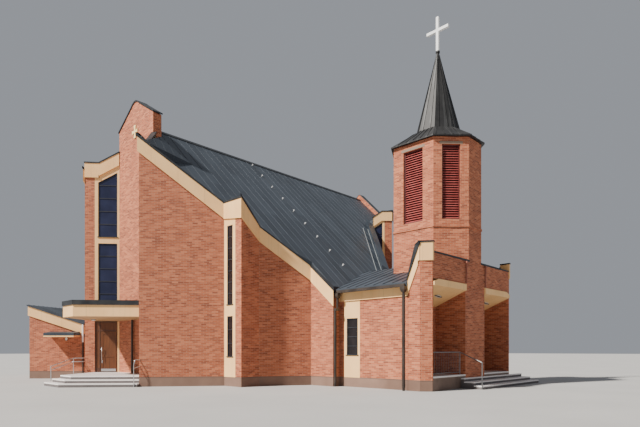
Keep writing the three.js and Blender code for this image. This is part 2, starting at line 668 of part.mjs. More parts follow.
function towerShaft() {
  const far = 2 * CROSSING - RECESS_SIDE;
  const base = box([RECESS_SIDE, far], [DOOR_WALL - WALL, FACADE], 0, CANOPY_TOP);
  const hollow = box([RECESS_SIDE + WALL, far - WALL], [DOOR_WALL - 2 * WALL, FACADE - WALL], -OVER, EAVE);
  const stub = box([CROSSING - TOWER.half, RECESS_SIDE + OVER], [DOOR_WALL - WALL, DOOR_WALL], 0,
    CANOPY_TOP);
  const body = joined([towerTube(0, BELT.top).subtract(recesses()), base.subtract(hollow), stub,
    acrossCrossing(stub)]);
  const inside = prism(towerPlan(-WALL), CANOPY_TOP - 1, BELT.top + OVER);
  const belt = prism(towerPlan(BELT.out), BELT.top - BELT.tall, BELT.top).subtract(
    prism(towerPlan(-WALL / 2), BELT.top - 2 * BELT.tall, BELT.top + OVER));
  return joined([body, belt]).subtract(inside);
}

// The belfry's faces that carry louvres: from, to, width of the opening
function louvredFaces() {
  const p = towerPlan(0);
  return [[p[0], p[1], LOUVRE.narrow], [p[1], p[2], LOUVRE.wide], [p[3], p[4], LOUVRE.narrow],
    [p[5], p[6], LOUVRE.wide], [p[6], p[7], LOUVRE.narrow]];
}

function louvrePanel([from, to, width], grow, face, depth) {
  const middle = distance(from, to) / 2;
  return panel(from, to, rectangle(middle - width / 2 - grow, middle + width / 2 + grow,
    LOUVRE.low - grow, LOUVRE.high + grow), face, depth);
}

function belfry() {
  const walls = towerTube(BELT.top + GAP, EAVE);
  const openings = louvredFaces().map((face) => louvrePanel(face, CLEAR, -OVER, WALL + 2 * OVER));
  return walls.subtract(joined(openings));
}

function belfryLouvres() {
  const { ring: [low, high], face, depth, tie } = LOUVRE;
  const panels = louvredFaces().map((opening) => louvrePanel(opening, 0, face, depth));
  const ring = prism(towerPlan(-WALL - GAP), low, high).subtract(
    prism(towerPlan(-WALL - tie), low - OVER, high + OVER));
  return joined([...panels, ring]);
}

function ringHull(lower, lowHeight, upper, upHeight) {
  const ring = (plan, height) => plan.map((p) => new THREE.Vector3(...at(...p), height));
  return solidOf(new ConvexGeometry([...ring(lower, lowHeight), ...ring(upper, upHeight)]));
}

function waist(radius) {
  return Array.from({ length: 8 }, (_, i) => {
    const turn = ((i + 0.5) * Math.PI) / 4;
    return [CROSSING + radius * Math.cos(turn), TOWER_AXIS + radius * Math.sin(turn)];
  });
}

function spire() {
  const s = SPIRE;
  const apex = [[CROSSING - s.tip, TOWER_AXIS], [CROSSING + s.tip, TOWER_AXIS],
    [CROSSING, TOWER_AXIS + s.tip]];
  const shell = (thick) => {
    const eave = towerPlan(s.overhang - thick * 2);
    const middle = waist(s.waist / Math.cos(Math.PI / 8) - thick);
    const brim = ringHull(eave, EAVE + GAP, eave, EAVE + s.edge);
    const skirt = ringHull(eave, EAVE + s.edge, middle, s.skirt);
    return joined([brim, skirt, ringHull(middle, s.skirt, apex, s.peak - thick * 5)]);
  };
  return shell(0).subtract(shell(s.shell).intersect(prism(towerPlan(-WALL - s.tip), 0, SKY)));
}

function spireCross() {
  const half = CROSS.bar / 2;
  const part = (reach, low, high) => box([CROSSING - half, CROSSING + half],
    [TOWER_AXIS - reach, TOWER_AXIS + reach], low, high);
  const upright = part(half, SPIRE.peak + GAP, CROSS.top);
  const arm = part(CROSS.arm / 2, CROSS.armHeight - half, CROSS.armHeight + half);
  return joined([upright, arm]);
}

// Side wing
function wingSlab(low, high, grow = 0) {
  const w = WING_ROOF;
  const far = 2 * CROSSING;
  const z = (along) => w.low + (along - w.eave) * w.slope;
  const outline = [[w.eave - grow, z(w.eave - grow)], [CROSSING, z(CROSSING)],
    [far - w.eave + grow, z(w.eave - grow)]];
  const shape = new THREE.Shape([...outline.map(([a, h]) => new THREE.Vector2(a - CROSSING, h + low)),
    ...outline.toReversed().map(([a, h]) => new THREE.Vector2(a - CROSSING, h + high))]);
  const geometry = new THREE.ExtrudeGeometry(shape, { depth: w.reach, bevelEnabled: false });
  geometry.rotateX(Math.PI / 2);
  geometry.translate(0, -w.from, 0);
  return solidOf(geometry);
}

// Everything above the wing roof's underside
function overWing() {
  return wingSlab(-WING_ROOF.depth - GAP, WING_ROOF.reach, WING_ROOF.eave - LINK + PIER * 2);
}

function wingPlan(grow) {
  const w = WING_ROOF;
  const half = [[CROSSING, w.inner], [w.eave - grow, w.inner], [w.eave - grow, FIN.start - GAP + grow],
    [FIN.in + GAP - grow, FIN.start - GAP + grow], [FIN.in + GAP - grow, FACADE - WALL - GAP + grow],
    [CROSSING, FACADE - WALL - GAP + grow]];
  const far = half.toReversed().map(([a, side]) => [2 * CROSSING - a, side]);
  return [...half.slice(1), ...far.slice(1, -1), [CROSSING, w.inner]];
}

function wingRoof() {
  const far = WING_MEETS[0] + WING_ROOF.reach;
  const beyond = prism([[WING_MEETS[0] - CLEAR, WING_ROOF.from], [far, WING_ROOF.from], [far, SKY],
    [REAR_LINK + WALL, C5[1] + LAP], [WING_MEETS[0] + FACET_ROOT, WING_MEETS[1] - 2 * FACET_ROOT]], 0, SKY);
  return wingSlab(-WING_ROOF.depth, 0).intersect(prism(wingPlan(0), 0, SKY)).subtract(belowRoof)
    .subtract(prism(towerPlan(GAP), 0, SKY)).subtract(prowBoards()).subtract(rearWalls(WING_MEETS, CLEAR))
    .subtract(beyond);
}

// Gutter under the wing roof's eave with a downpipe at each end; the nave's pipe steps into the corner
function linkGutter() {
  const g = GUTTER;
  const edge = WING_ROOF.eave - GAP;
  const trough = box([edge - g.width, edge], [g.from, g.to], g.low, g.high);
  const along = edge - g.width / 2;
  const side = g.from + g.pipe;
  const [stepAlong, stepSide] = [along - g.step[0], side - g.step[1]];
  const upper = rod([along, side, g.elbow[0]], [along, side, g.low + g.lap], g.pipe, 10);
  const lower = rod([stepAlong, stepSide, 0], [stepAlong, stepSide, g.elbow[1]], g.pipe, 10);
  const elbow = box([stepAlong - g.pipe, along + g.pipe], [stepSide - g.pipe, side + g.pipe], ...g.elbow);
  const far = rod([along, g.to - g.pipe, 0], [along, g.to - g.pipe, g.low + g.lap], g.pipe, 10);
  return joined([trough, upper, elbow, lower, far]);
}

// Link wall between the nave and the side entrance, with its window bay
function linkWall() {
  const roofCut = overWing();
  const returnWall = block([[C5[0] + GAP * 2, C5[1]], [LINK, C5[1]], [LINK + WALL, C5[1] - WALL],
    [C5[0] + WALL + GAP * 2, C5[1] - WALL]], 0, LINK_WALL_TOP);
  const wall = box([LINK, LINK + WALL], [C5[1] - WALL, LINK_END], 0, LINK_WALL_TOP);
  const bay = panel([LINK, C5[1]], [LINK, LINK_END], rectangle(LINK_BAY.start, LINK_BAY.end, PLINTH,
    LINK_BOARD.low), -OVER, WALL + 2 * OVER);
  return joined([wall, returnWall, doorWall()]).subtract(bay).subtract(roofCut).subtract(aboveRoof)
    .subtract(prowBoards());
}

function doorWall() {
  const wall = box([LINK + OVER, CROSSING - TOWER.half - GAP], [DOOR_WALL - WALL, DOOR_WALL], 0,
    CANOPY_TOP - GAP);
  return wall.subtract(box([SIDE_DOOR.start, SIDE_DOOR.end], [DOOR_WALL - WALL - OVER, DOOR_WALL + OVER],
    LANDING, SIDE_DOOR.high));
}

function linkBoard() {
  return box([LINK - LINK_BOARD.out - GAP, LINK - GAP], [C5[1] + GAP, FIN.start - GAP], LINK_BOARD.low,
    LINK_BOARD.high);
}

function linkWindow() {
  const [g0, g1] = LINK_BAY.glass;
  return windowUnit([LINK, C5[1]], [LINK, LINK_END], rectangle(LINK_BAY.start + GAP, LINK_BAY.end - GAP,
    PLINTH + GAP, LINK_BOARD.low - GAP), [rectangle(g0, g1, LINK_BAY.low, LINK_BAY.high)]);
}

// Rear link wall and the wing's closing wall behind the tower
function rearLinkWall() {
  const line = [[REAR_LINK, LINK_END], [REAR_LINK, C5[1]], WING_MEETS];
  const inner = inset(line, WALL);
  const cornerIn = inset([WING_MEETS, REAR_START], WALL)[0];
  const length = LINK_END - C5[1];
  const bay = panel(line[0], line[1], rectangle(length - LINK_BAY.end, length - LINK_BAY.start, PLINTH,
    LINK_BOARD.low), -OVER, WALL + 2 * OVER);
  const link = prism([line[0], line[1], inner[1], inner[0]], 0, LINK_WALL_TOP);
  const meets = shifted(WING_MEETS, REAR_START, WING_MEETS, GAP);
  const cornerMeets = shifted(cornerIn, REAR_START, WING_MEETS, GAP);
  const back = prism([line[1], meets, cornerMeets, inner[2], inner[1]], 0, LINK_BACK_TOP);
  return joined([link, back, acrossCrossing(doorWall())]).subtract(bay).subtract(overWing())
    .subtract(aboveRoof);
}

// Height of the fin's sloping shoulder
const finTop = ([, side]) => Math.min(FIN.top, FIN.foot
  + ((side - FIN.start) * (FIN.top - FIN.foot)) / (FIN.corner - FIN.start));

// Brick fin with its sloping shoulder and the beam over one entrance recess
function sideFacade() {
  const lowFin = box([LINK, FIN.in], [LINK_END + GAP, FIN.start], 0, LINK_WALL_TOP).subtract(overWing());
  const shoulder = [[FIN.out, FIN.start], [FIN.out, FIN.corner], [FIN.in, FIN.corner], [FIN.in, FIN.start]];
  const nose = [[FIN.out, FIN.corner], [FIN.front, FACADE], [FIN.in, FACADE], [FIN.in, FIN.corner]];
  const fin = joined([block(shoulder, 0, shoulder.map(finTop)), block(nose, 0, FIN.top)]);
  const beam = box([FIN.in - 1, RECESS_SIDE + WALL], [FACADE - WALL, FACADE], CANOPY_TOP + GAP, FACADE_TOP);
  return joined([lowFin, fin, beam.subtract(prism(towerPlan(GAP), 0, SKY))]);
}

function sideDoor() {
  const d = SIDE_DOOR;
  return box([d.start + GAP, d.end - GAP], [DOOR_WALL - d.deep, DOOR_WALL - d.face], LANDING + GAP,
    d.high - GAP);
}

// Cream cap on the fin and the steep board that runs down to the link roof
function finCap() {
  const c = FIN_CAP;
  const shoulder = [[FIN.out - c.out, FIN.start], [FIN.out - c.out, FIN.corner], [FIN.in, FIN.corner],
    [FIN.in, FIN.start]];
  const low = (p) => finTop(p) + GAP + c.play;
  const slope = block(shoulder, shoulder.map(low), shoulder.map((p) => low(p) + c.thick));
  const cap = block([[FIN.out - c.out, FIN.corner - c.out], [FIN.front - c.out, FACADE + c.out],
    [FIN.in, FACADE + c.out], [FIN.in, FIN.corner - c.out]], FIN.top + GAP, c.top);
  const beamTop = box([FIN.in - GAP - 1, RECESS_SIDE], [FACADE - WALL - OVER, FACADE + OVER], 0,
    FACADE_TOP + GAP);
  const under = box([FIN.out - 2 * c.out, FIN.in + OVER], [FIN.corner - 2 * c.out, FIN.corner], FIN.foot,
    FIN.top + GAP);
  return joined([slope, cap]).subtract(beamTop).subtract(under);
}

// Canopy that closes the top of a recess, its soffit falling towards the door
function sideCanopy() {
  const { wall, face, out } = CANOPY;
  const corners = [[FIN.in + GAP, DOOR_WALL + GAP], [RECESS_SIDE - GAP, DOOR_WALL + GAP],
    [RECESS_SIDE - GAP, FACADE + out], [FIN.in + GAP, FACADE + out]];
  return block(corners, [wall, wall, face, face], CANOPY_TOP).subtract(overWing());
}

function sideLanding() {
  return box([FIN.in + GAP, RECESS_SIDE - GAP], [DOOR_WALL + GAP, FACADE - GAP], 0, LANDING);
}

function sideSteps() {
  const { start, end, nosings, riser, tread } = FLIGHT;
  return joined(nosings.map((side, i) => box([start, end], [FACADE + GAP, side + tread], 0,
    LANDING - riser * (i + 1))));
}

// Steel railing along the landing's edge, between two posts
function sideRailing() {
  const r = RAIL;
  const side = FACADE - FACET_ROOT;
  const [start, end] = [FIN.in + r.in, FLIGHT.start];
  const bar = (z, radius) => rod([start, side, LANDING + z], [end, side, LANDING + z], radius);
  const postTop = LANDING + r.top + r.radius;
  const post = (along) => rod([along, side, LANDING + GAP], [along, side, postTop], r.radius);
  const bars = [bar(r.top, r.radius), bar(r.foot, r.lower), post(start), post(end)];
  for (let i = 1; i < r.count; i += 1) {
    const along = start + ((end - start) * i) / r.count;
    bars.push(rod([along, side, LANDING + r.foot], [along, side, LANDING + r.top], r.baluster, 6));
  }
  return joined(bars);
}

// Rail down the flight's end, from the landing's post to a post on the ground
function flightRail() {
  const r = RAIL;
  const side = FACADE - FACET_ROOT;
  const foot = FLIGHT.nosings.at(-1) + BOARD_IN - r.lean;
  const along = FLIGHT.start - r.lean;
  const top = FLIGHT.riser + r.top;
  const landing = box([along - WALL, FLIGHT.start + WALL], [side - WALL, side + r.radius + GAP], 0, SKY);
  return joined([rod([FLIGHT.start, side, LANDING + r.top], [along, foot, top], r.radius),
    rod([along, foot, GAP], [along, foot, top + r.radius], r.radius)]).subtract(landing);
}

// Main porch: canopy, platform and steps share the truncated square over the front court
function porchPlan(grow, face = 0) {
  const run = [(TIP[0] - EDGE[0]) / WINDOW_WALL, (TIP[1] - EDGE[1]) / WINDOW_WALL];
  const nose = [PORCH.nose - grow, PORCH.half + grow * 0.42];
  const far = [nose[0] - run[0] * 6000, nose[1] + run[1] * 6000];
  const wall = inset([EDGE, TIP], -face);
  const hit = crossing([nose, far], wall);
  const front = -face;
  const edge = crossing([[front, 0], [front, 5000]], wall);
  return [nose, hit, edge];
}

function porchPrism(grow, low, high, face = GAP) {
  const half = porchPlan(grow, face);
  const other = half.toReversed().map(([a, side]) => [a, -side]);
  return prism([...half, ...other], low, high);
}

// Frame of the main door with a pin for each hinge, carried by two small brackets
function mainDoorFrame() {
  const s = DOOR;
  const end = WINDOW_WALL - PIER - GAP;
  const frame = panel(EDGE, TIP, rectangle(GAP, end, FLOOR + GAP, PORCH.high + OVER - 1), s.face, s.depth);
  const opening = panel(EDGE, TIP, rectangle(s.hinge - s.play, s.hinge + s.leaf + s.play, FLOOR - OVER,
    s.top + s.play), s.face - OVER, s.depth + 2 * OVER);
  const { feet, length, clear } = HINGE;
  const room = joined(feet.map((foot) => hingeRod(foot - s.play, foot + length + s.play, clear)));
  return joined([frame.subtract(opening).subtract(room), ...feet.map(hingePin)]);
}

function hingeRod(low, high, radius) {
  const [along, side] = between(...inset([EDGE, TIP], DOOR.face), DOOR.hinge);
  return rod([along, side, low], [along, side, high], radius, 16);
}

function hingePin(foot) {
  const h = HINGE;
  const low = foot - h.gap - h.bracket;
  const high = foot + h.length + h.gap;
  const outline = (z) => rectangle(DOOR.hinge - h.clear - OVER, DOOR.hinge + h.pin, z, z + h.bracket);
  const brackets = [low, high].map((z) => panel(EDGE, TIP, outline(z), DOOR.face - h.pin, 2 * h.pin));
  return joined([...brackets, hingeRod(low - 2, high + h.bracket + 2, h.pin)]);
}

// Door leaf with a bored knuckle at each hinge
function mainDoor() {
  const s = DOOR;
  const h = HINGE;
  const outline = rectangle(s.hinge, s.hinge + s.leaf, FLOOR + s.sill, s.top);
  const leaf = panel(EDGE, TIP, outline, s.face, s.thick);
  const notch = (foot) => panel(EDGE, TIP, rectangle(s.hinge - 1, s.hinge + 2 * h.knuckle, foot - h.notch,
    foot + h.length + h.notch), s.face - 1, 2 * h.knuckle);
  const web = (foot) => panel(EDGE, TIP, rectangle(s.hinge, s.hinge + h.web[0], foot, foot + h.length),
    s.face, h.web[1]);
  const knuckles = h.feet.map((foot) => joined([web(foot), hingeRod(foot, foot + h.length, h.knuckle)]));
  const bores = h.feet.map((foot) => hingeRod(foot - h.notch, foot + h.length + h.notch, h.bore));
  return joined([leaf.subtract(joined(h.feet.map(notch))), ...knuckles]).subtract(joined(bores));
}

// Two tubes that rise beside the porch steps on two posts and end in the left wing wall
function handrail() {
  const { points, drop } = PORCH_RAIL;
  const r = RAIL.radius;
  const bars = points.slice(0, 2).map(([u, v, z]) => rod([u, v, 0], [u, v, z + 4], r));
  for (const lower of [0, drop]) {
    const [a, b, c] = points.map(([u, v, z]) => [u, v, z - lower]);
    bars.push(rod(a, b, r), rod(b, c, r));
  }
  return joined(bars).subtract(naveSeat());
}

// Stepped ring around the platform
function porchSteps() {
  const { apron, tread, riser } = PORCH;
  const lower = porchPrism(apron + 2 * tread, 0, riser);
  const upper = porchPrism(apron + tread, 0, 2 * riser);
  return joined([lower, upper]).subtract(porchPrism(apron + GAP, -OVER, SKY, -PIER));
}

// Low annex beside the left wing wall. Its own plan is [across, back] from its front left corner
function annexPoint([across, back]) {
  const { corner, run } = ANNEX;
  return [corner[0] + run[0] * across + run[1] * back, corner[1] + run[1] * across - run[0] * back];
}

function annexBlock(across, back, low, high) {
  const plan = [[across[0], back[0]], [across[1], back[0]], [across[1], back[1]], [across[0], back[1]]];
  const heights = (h) => (typeof h === 'function' ? plan.map(h) : h);
  return block(plan.map(annexPoint), heights(low), heights(high));
}

const annexTop = (drop) => ([across, back]) => ANNEX.top - ANNEX.fall * across + ANNEX.rise * back - drop;

// Everything inside the nave's left wing wall, kept free by the passage
function naveSeat() {
  const line = inset([EDGE, TIP, C1, C2], -GAP);
  const inside = [[line[3][0] + CROSSING, line[3][1]], [line[1][0] + CROSSING, 0]];
  return acrossRidge(prism([line[1], line[2], line[3], ...inside], -OVER, SKY));
}

function annexWalls() {
  const a = ANNEX;
  const p = PASSAGE;
  const shell = annexBlock([0, a.width], [0, a.depth], 0, annexTop(a.sheet + a.verge)).subtract(
    annexBlock([a.wall, a.width - a.wall], [a.wall, a.depth - a.wall], -OVER, SKY));
  const passage = annexBlock([a.width - OVER, p.reach], [0, p.depth], 0, p.roof[0]).subtract(
    annexBlock([a.width - 2 * OVER, p.reach + OVER], [a.wall, p.depth - a.wall], -OVER, SKY));
  return joined([shell, passage]).subtract(naveSeat());
}

function annexVerge() {
  const a = ANNEX;
  const band = [[-a.proud, a.width + a.proud], [-a.proud, a.depth + a.proud]];
  const outer = annexBlock(...band, annexTop(a.sheet + a.verge - GAP), annexTop(a.sheet));
  const inner = annexBlock([a.wall, a.width - a.wall], [a.wall, a.depth - a.wall], 0, SKY);
  return outer.subtract(inner);
}

function annexRoof() {
  const a = ANNEX;
  return annexBlock([-a.eave, a.width + a.eave], [-a.eave, a.depth + a.eave], annexTop(a.sheet - GAP),
    annexTop(0));
}

function passageRoof() {
  const p = PASSAGE;
  return annexBlock([ANNEX.width + ANNEX.proud + GAP, p.reach], [-p.eave, p.depth + p.eave], p.roof[0] + GAP,
    p.roof[1]).subtract(naveSeat());
}

function annexCanopy() {
  const a = ANNEX;
  const c = ANNEX_CANOPY;
  const sheet = annexBlock(c.across, [-c.out, -GAP], ([, back]) => c.low + c.fall * back,
    ([, back]) => c.high + c.slope * back);
  const verge = annexBlock([0, a.width], [-a.proud - GAP, 0], annexTop(a.sheet + a.verge + GAP), SKY);
  return sheet.subtract(verge);
}

build();

function build() {
  const wing = wingWall();
  const side = sideWall();
  addMesh('wing_wall_right', wing, BRICK);
  addMesh('wing_wall_left', acrossRidge(wing), BRICK);
  addMesh('side_wall_right', side, BRICK);
  addMesh('side_wall_left', acrossRidge(joined([side, leftWallEnd()])), BRICK);
  addMesh('fascia_right', fascia(0, BOARD.tip[1]), CREAM);
  addMesh('fascia_left', acrossRidge(joined([fascia(), eavesBoard()])), CREAM);
  addMesh('corner_window_right', cornerWindow(), GLASS);
  addMesh('corner_window_left', acrossRidge(cornerWindow()), GLASS);
  addMesh('front_window_right', frontWindow(FLOOR + GAP), GLASS);
  addMesh('front_window_left', acrossRidge(frontWindow(3970)), GLASS);
  addMesh('front_pylon', frontPylon(), BRICK);
  addMesh('pylon_coping', pylonCoping(), ROOF);
  addMesh('pylon_cross', pylonCross(), CREAM);
  addMesh('rear_pylon', rearPylon(), BRICK);
  addMesh('rear_wall_left', acrossRidge(rearWalls(EAVES_END)), BRICK);
  addMesh('rear_wall_right', rearWalls(WING_MEETS), BRICK);
  addMesh('rear_boards_right', rearBoards(), CREAM);
  addMesh('rear_boards_left', acrossRidge(rearBoards()), CREAM);
  addMesh('rear_window_right', rearWindow(), GLASS);
  addMesh('rear_window_left', acrossRidge(rearWindow()), GLASS);
  addMesh('main_roof', mainRoof(), ROOF);
  addMesh('floor_slab', floorSlab(), STONE);
  addMesh('tower_shaft', towerShaft(), BRICK);
  addMesh('belfry', belfry(), BRICK);
  addMesh('belfry_louvres', belfryLouvres(), LOUVRES);
  addMesh('spire', spire(), ROOF);
  addMesh('spire_cross', spireCross(), WHITE);
  addMesh('wing_roof', wingRoof(), ROOF);
  const link = linkWall();
  addMesh('link_wall_front', link, BRICK);
  addMesh('link_board_front', linkBoard(), CREAM);
  addMesh('link_window_front', linkWindow(), GLASS);
  addMesh('link_wall_rear', rearLinkWall(), BRICK);
  addMesh('link_board_rear', acrossCrossing(linkBoard()), CREAM);
  addMesh('link_window_rear', acrossCrossing(linkWindow()), GLASS);
  const facade = sideFacade();
  addMesh('side_facade_front', facade, BRICK);
  addMesh('side_facade_rear', acrossCrossing(facade), BRICK);
  addMesh('fin_cap_front', finCap(), CREAM);
  addMesh('fin_cap_rear', acrossCrossing(finCap()), CREAM);
  addMesh('side_door_front', sideDoor(), TIMBER);
  addMesh('side_door_rear', acrossCrossing(sideDoor()), TIMBER);
  addMesh('side_canopy_front', sideCanopy(), CREAM);
  addMesh('side_canopy_rear', acrossCrossing(sideCanopy()), CREAM);
  addMesh('side_landing_front', sideLanding(), STONE);
  addMesh('side_landing_rear', acrossCrossing(sideLanding()), STONE);
  addMesh('side_steps', sideSteps(), STONE);
  addMesh('side_railing', sideRailing(), STEEL);
  addMesh('flight_rail', flightRail(), STEEL);
  addMesh('porch_canopy', porchPrism(0, PORCH.low, PORCH.high), CREAM);
  addMesh('porch_platform', porchPrism(PORCH.apron, 0, FLOOR), STONE);
  addMesh('main_door_frame', acrossRidge(mainDoorFrame()), TIMBER);
  addMesh('main_door', acrossRidge(mainDoor()), TIMBER);
  addMesh('porch_handrail', handrail(), STEEL);
  addMesh('porch_steps', porchSteps(), STONE);
  addMesh('link_gutter_front', linkGutter(), PIPE);
  addMesh('link_gutter_rear', acrossCrossing(linkGutter()), PIPE);
  addMesh('annex_walls', annexWalls(), BRICK);
  addMesh('annex_verge', annexVerge(), CREAM);
  addMesh('annex_roof', annexRoof(), ROOF);
  addMesh('passage_roof', passageRoof(), ROOF);
  addMesh('annex_canopy', annexCanopy(), ROOF);
}

export default group;
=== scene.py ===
import math

import bmesh
import bpy
from mathutils import Matrix, Vector


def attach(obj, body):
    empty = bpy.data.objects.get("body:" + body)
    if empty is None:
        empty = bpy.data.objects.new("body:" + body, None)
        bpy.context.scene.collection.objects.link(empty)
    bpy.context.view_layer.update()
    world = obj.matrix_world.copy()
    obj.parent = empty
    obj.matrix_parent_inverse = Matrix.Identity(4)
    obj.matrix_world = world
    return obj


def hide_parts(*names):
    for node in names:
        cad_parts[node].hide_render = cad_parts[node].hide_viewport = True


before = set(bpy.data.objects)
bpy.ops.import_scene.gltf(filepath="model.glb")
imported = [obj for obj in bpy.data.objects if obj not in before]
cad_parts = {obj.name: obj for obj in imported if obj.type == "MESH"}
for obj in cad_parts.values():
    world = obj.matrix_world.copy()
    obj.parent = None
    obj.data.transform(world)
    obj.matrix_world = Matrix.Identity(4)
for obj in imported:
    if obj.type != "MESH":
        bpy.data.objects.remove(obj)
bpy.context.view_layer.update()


# Brick walls: fired facing bricks, 250 mm long in 75 mm courses, laid in half bond with pale
# mortar joints struck a little back. Each brick took its own shade in the kiln, and the lowest
# 430 mm of every wall are a rendered plinth, topped by a thin band painted dark for a drip ledge and
# its painted shadow.
BRICK_AND_JOINT = 0.26
COURSE = 0.075
PLINTH = 0.43
LEDGE_AND_SHADOW_BAND = 0.012


def wire(tree, node, inputs):
    for socket, value in inputs:
        if isinstance(value, bpy.types.NodeSocket):
            tree.links.new(value, node.inputs[socket])
        else:
            node.inputs[socket].default_value = value
    return node


def put(tree, kind, *inputs, **settings):
    node = tree.nodes.new("ShaderNode" + kind)
    for key, value in settings.items():
        setattr(node, key, value)
    return wire(tree, node, inputs)


def figure(tree, operation, a, b=0.0, c=0.0):
    return put(tree, "Math", (0, a), (1, b), (2, c), operation=operation).outputs[0]


def mixed(tree, share, a, b):
    return put(tree, "Mix", (0, share), (6, a), (7, b), data_type="RGBA").outputs[2]


def shades(tree, value, *stops):
    node = put(tree, "ValToRGB", (0, value))
    ramp = node.color_ramp
    ramp.elements.remove(ramp.elements[1])
    ramp.elements[0].position = stops[0][0]
    ramp.elements[0].color = (*stops[0][1], 1)
    for share, color in stops[1:]:
        ramp.elements.new(share).color = (*color, 1)
    return node.outputs[0]


def object_place(tree):
    return put(tree, "TexCoord").outputs["Object"]


def finish(name):
    made = bpy.data.materials.new(name)
    made.use_nodes = True
    return made, made.node_tree, made.node_tree.nodes["Principled BSDF"]


def feed(tree, shader, color, roughness, height=None, depth=0.002):
    wire(tree, shader, [("Base Color", color), ("Roughness", roughness)])
    if height:
        bump = put(tree, "Bump", ("Strength", 0.8), ("Distance", depth), ("Height", height))
        tree.links.new(bump.outputs[0], shader.inputs["Normal"])


def new_group(name, gives, takes=()):
    tree = bpy.data.node_groups.new(name, "ShaderNodeTree")
    for way, sockets in (("INPUT", takes), ("OUTPUT", gives)):
        for socket in sockets:
            tree.interface.new_socket(socket, in_out=way, socket_type="NodeSocketFloat")
    return tree


def give(tree, **values):
    end = tree.nodes.new("NodeGroupOutput")
    wire(tree, end, values.items())


def use(tree, group, *inputs):
    node = tree.nodes.new("ShaderNodeGroup")
    node.node_tree = group
    return wire(tree, node, inputs).outputs


wall_grid = new_group("wall_grid", gives=("Across", "Height", "Level"))
place = object_place(wall_grid)
facing = put(wall_grid, "NewGeometry").outputs["True Normal"]
sideways = put(wall_grid, "VectorMath", (0, (0.0, 0.0, 1.0)), (1, facing), operation="CROSS_PRODUCT")
sideways = put(wall_grid, "VectorMath", (0, sideways.outputs[0]), operation="NORMALIZE")
across = put(wall_grid, "VectorMath", (0, place), (1, sideways.outputs[0]), operation="DOT_PRODUCT")
give(wall_grid, Across=across.outputs["Value"],
     Height=put(wall_grid, "SeparateXYZ", (0, place)).outputs[2],
     Level=put(wall_grid, "SeparateXYZ", (0, facing)).outputs[2])

weather = new_group("weather", gives=("Streaks", "Clouds", "Grain"),
                    takes=("Streak Width", "Cloud Size", "Grain Size"))
sizes = weather.nodes.new("NodeGroupInput").outputs
walls = use(weather, wall_grid)
narrow = figure(weather, "DIVIDE", walls["Across"], sizes["Streak Width"])
drawn_down = figure(weather, "MULTIPLY", walls["Height"], 0.35)
run_down = put(weather, "CombineXYZ", (0, narrow), (1, drawn_down)).outputs[0]
place = object_place(weather)
cloud_scale = figure(weather, "DIVIDE", 1.0, sizes["Cloud Size"])
grain_scale = figure(weather, "DIVIDE", 1.0, sizes["Grain Size"])
streaks = put(weather, "TexNoise", ("Vector", run_down), ("Scale", 1.0), ("Detail", 3.0))
clouds = put(weather, "TexNoise", ("Vector", place), ("Scale", cloud_scale), ("Detail", 4.0))
grain = put(weather, "TexNoise", ("Vector", place), ("Scale", grain_scale), ("Detail", 2.0))
give(weather, Streaks=streaks.outputs[0], Clouds=clouds.outputs[0], Grain=grain.outputs[0])


def weathered(tree, streak, cloud, grain):
    return use(tree, weather, ("Streak Width", streak), ("Cloud Size", cloud), ("Grain Size", grain))


brick, tree, shader = finish("facing_brick")
walls = use(tree, wall_grid)
worn = weathered(tree, streak=0.5, cloud=1.6, grain=0.02)
laid_on = put(tree, "CombineXYZ", (0, walls["Across"]), (1, walls["Height"])).outputs[0]
bricks = put(tree, "TexBrick", ("Vector", laid_on), ("Scale", 1.0), ("Bias", 0.0),
             ("Brick Width", BRICK_AND_JOINT), ("Row Height", COURSE),
             ("Mortar Size", 0.006), ("Mortar Smooth", 0.2),
             ("Color1", (0, 0, 0, 1)), ("Color2", (1, 1, 1, 1)), ("Mortar", (0.5, 0.5, 0.5, 1))).outputs
clay = shades(tree, bricks["Color"], (0.0, (0.20, 0.046, 0.020)), (0.15, (0.30, 0.076, 0.032)),
              (0.6, (0.42, 0.115, 0.048)), (1.0, (0.55, 0.185, 0.085)))
even_clay = (0.41, 0.112, 0.050, 1)
clay = mixed(tree, figure(tree, "MULTIPLY", worn["Clouds"], 0.3), clay, even_clay)
mortar = (0.44, 0.26, 0.17, 1)
laid = mixed(tree, bricks["Fac"], clay, mortar)
render_coat = shades(tree, worn["Clouds"], (0.3, (0.15, 0.085, 0.060)), (0.7, (0.25, 0.155, 0.115)))
# The band at the plinth's top is painted dark, standing for a drip ledge and the painted shadow it
# casts.
low_down = figure(tree, "LESS_THAN", walls["Height"], PLINTH)
ledge_and_shadow_band = figure(tree, "COMPARE", walls["Height"], PLINTH, LEDGE_AND_SHADOW_BAND)
ledge_shadow = (0.07, 0.045, 0.04, 1)
colored = mixed(tree, low_down, laid, render_coat)
colored = mixed(tree, ledge_and_shadow_band, colored, ledge_shadow)
raised = figure(tree, "SUBTRACT", 1.0, bricks["Fac"])
raised = figure(tree, "MULTIPLY", raised, figure(tree, "SUBTRACT", 1.0, low_down))
raised = figure(tree, "MULTIPLY_ADD", worn["Grain"], 0.35, raised)
feed(tree, shader, colored, figure(tree, "MULTIPLY_ADD", worn["Grain"], 0.15, 0.78), raised, 0.006)


def dress(material, *nodes):
    for node in nodes:
        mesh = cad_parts[node].data
        mesh.materials.clear()
        mesh.materials.append(material)


dress(brick, "wing_wall_right", "wing_wall_left", "side_wall_right", "side_wall_left",
      "front_pylon", "rear_pylon", "rear_wall_left", "rear_wall_right", "tower_shaft", "belfry",
      "link_wall_front", "link_wall_rear", "side_facade_front", "side_facade_rear", "annex_walls")


# Steps, landings and floor: grey-lilac stone slabs with tight joints, flamed on top, with the
# upright risers painted much darker as painted shade, and a paler honed band let in along every
# nosing. The two landings by the belfry are rendered blocks whose upper 70 mm are the same stone.
SLAB = (0.6, 0.3)
LANDING_SLAB = 0.53
NOSING = 0.06
LET_IN = 0.04
PROUD = 0.006

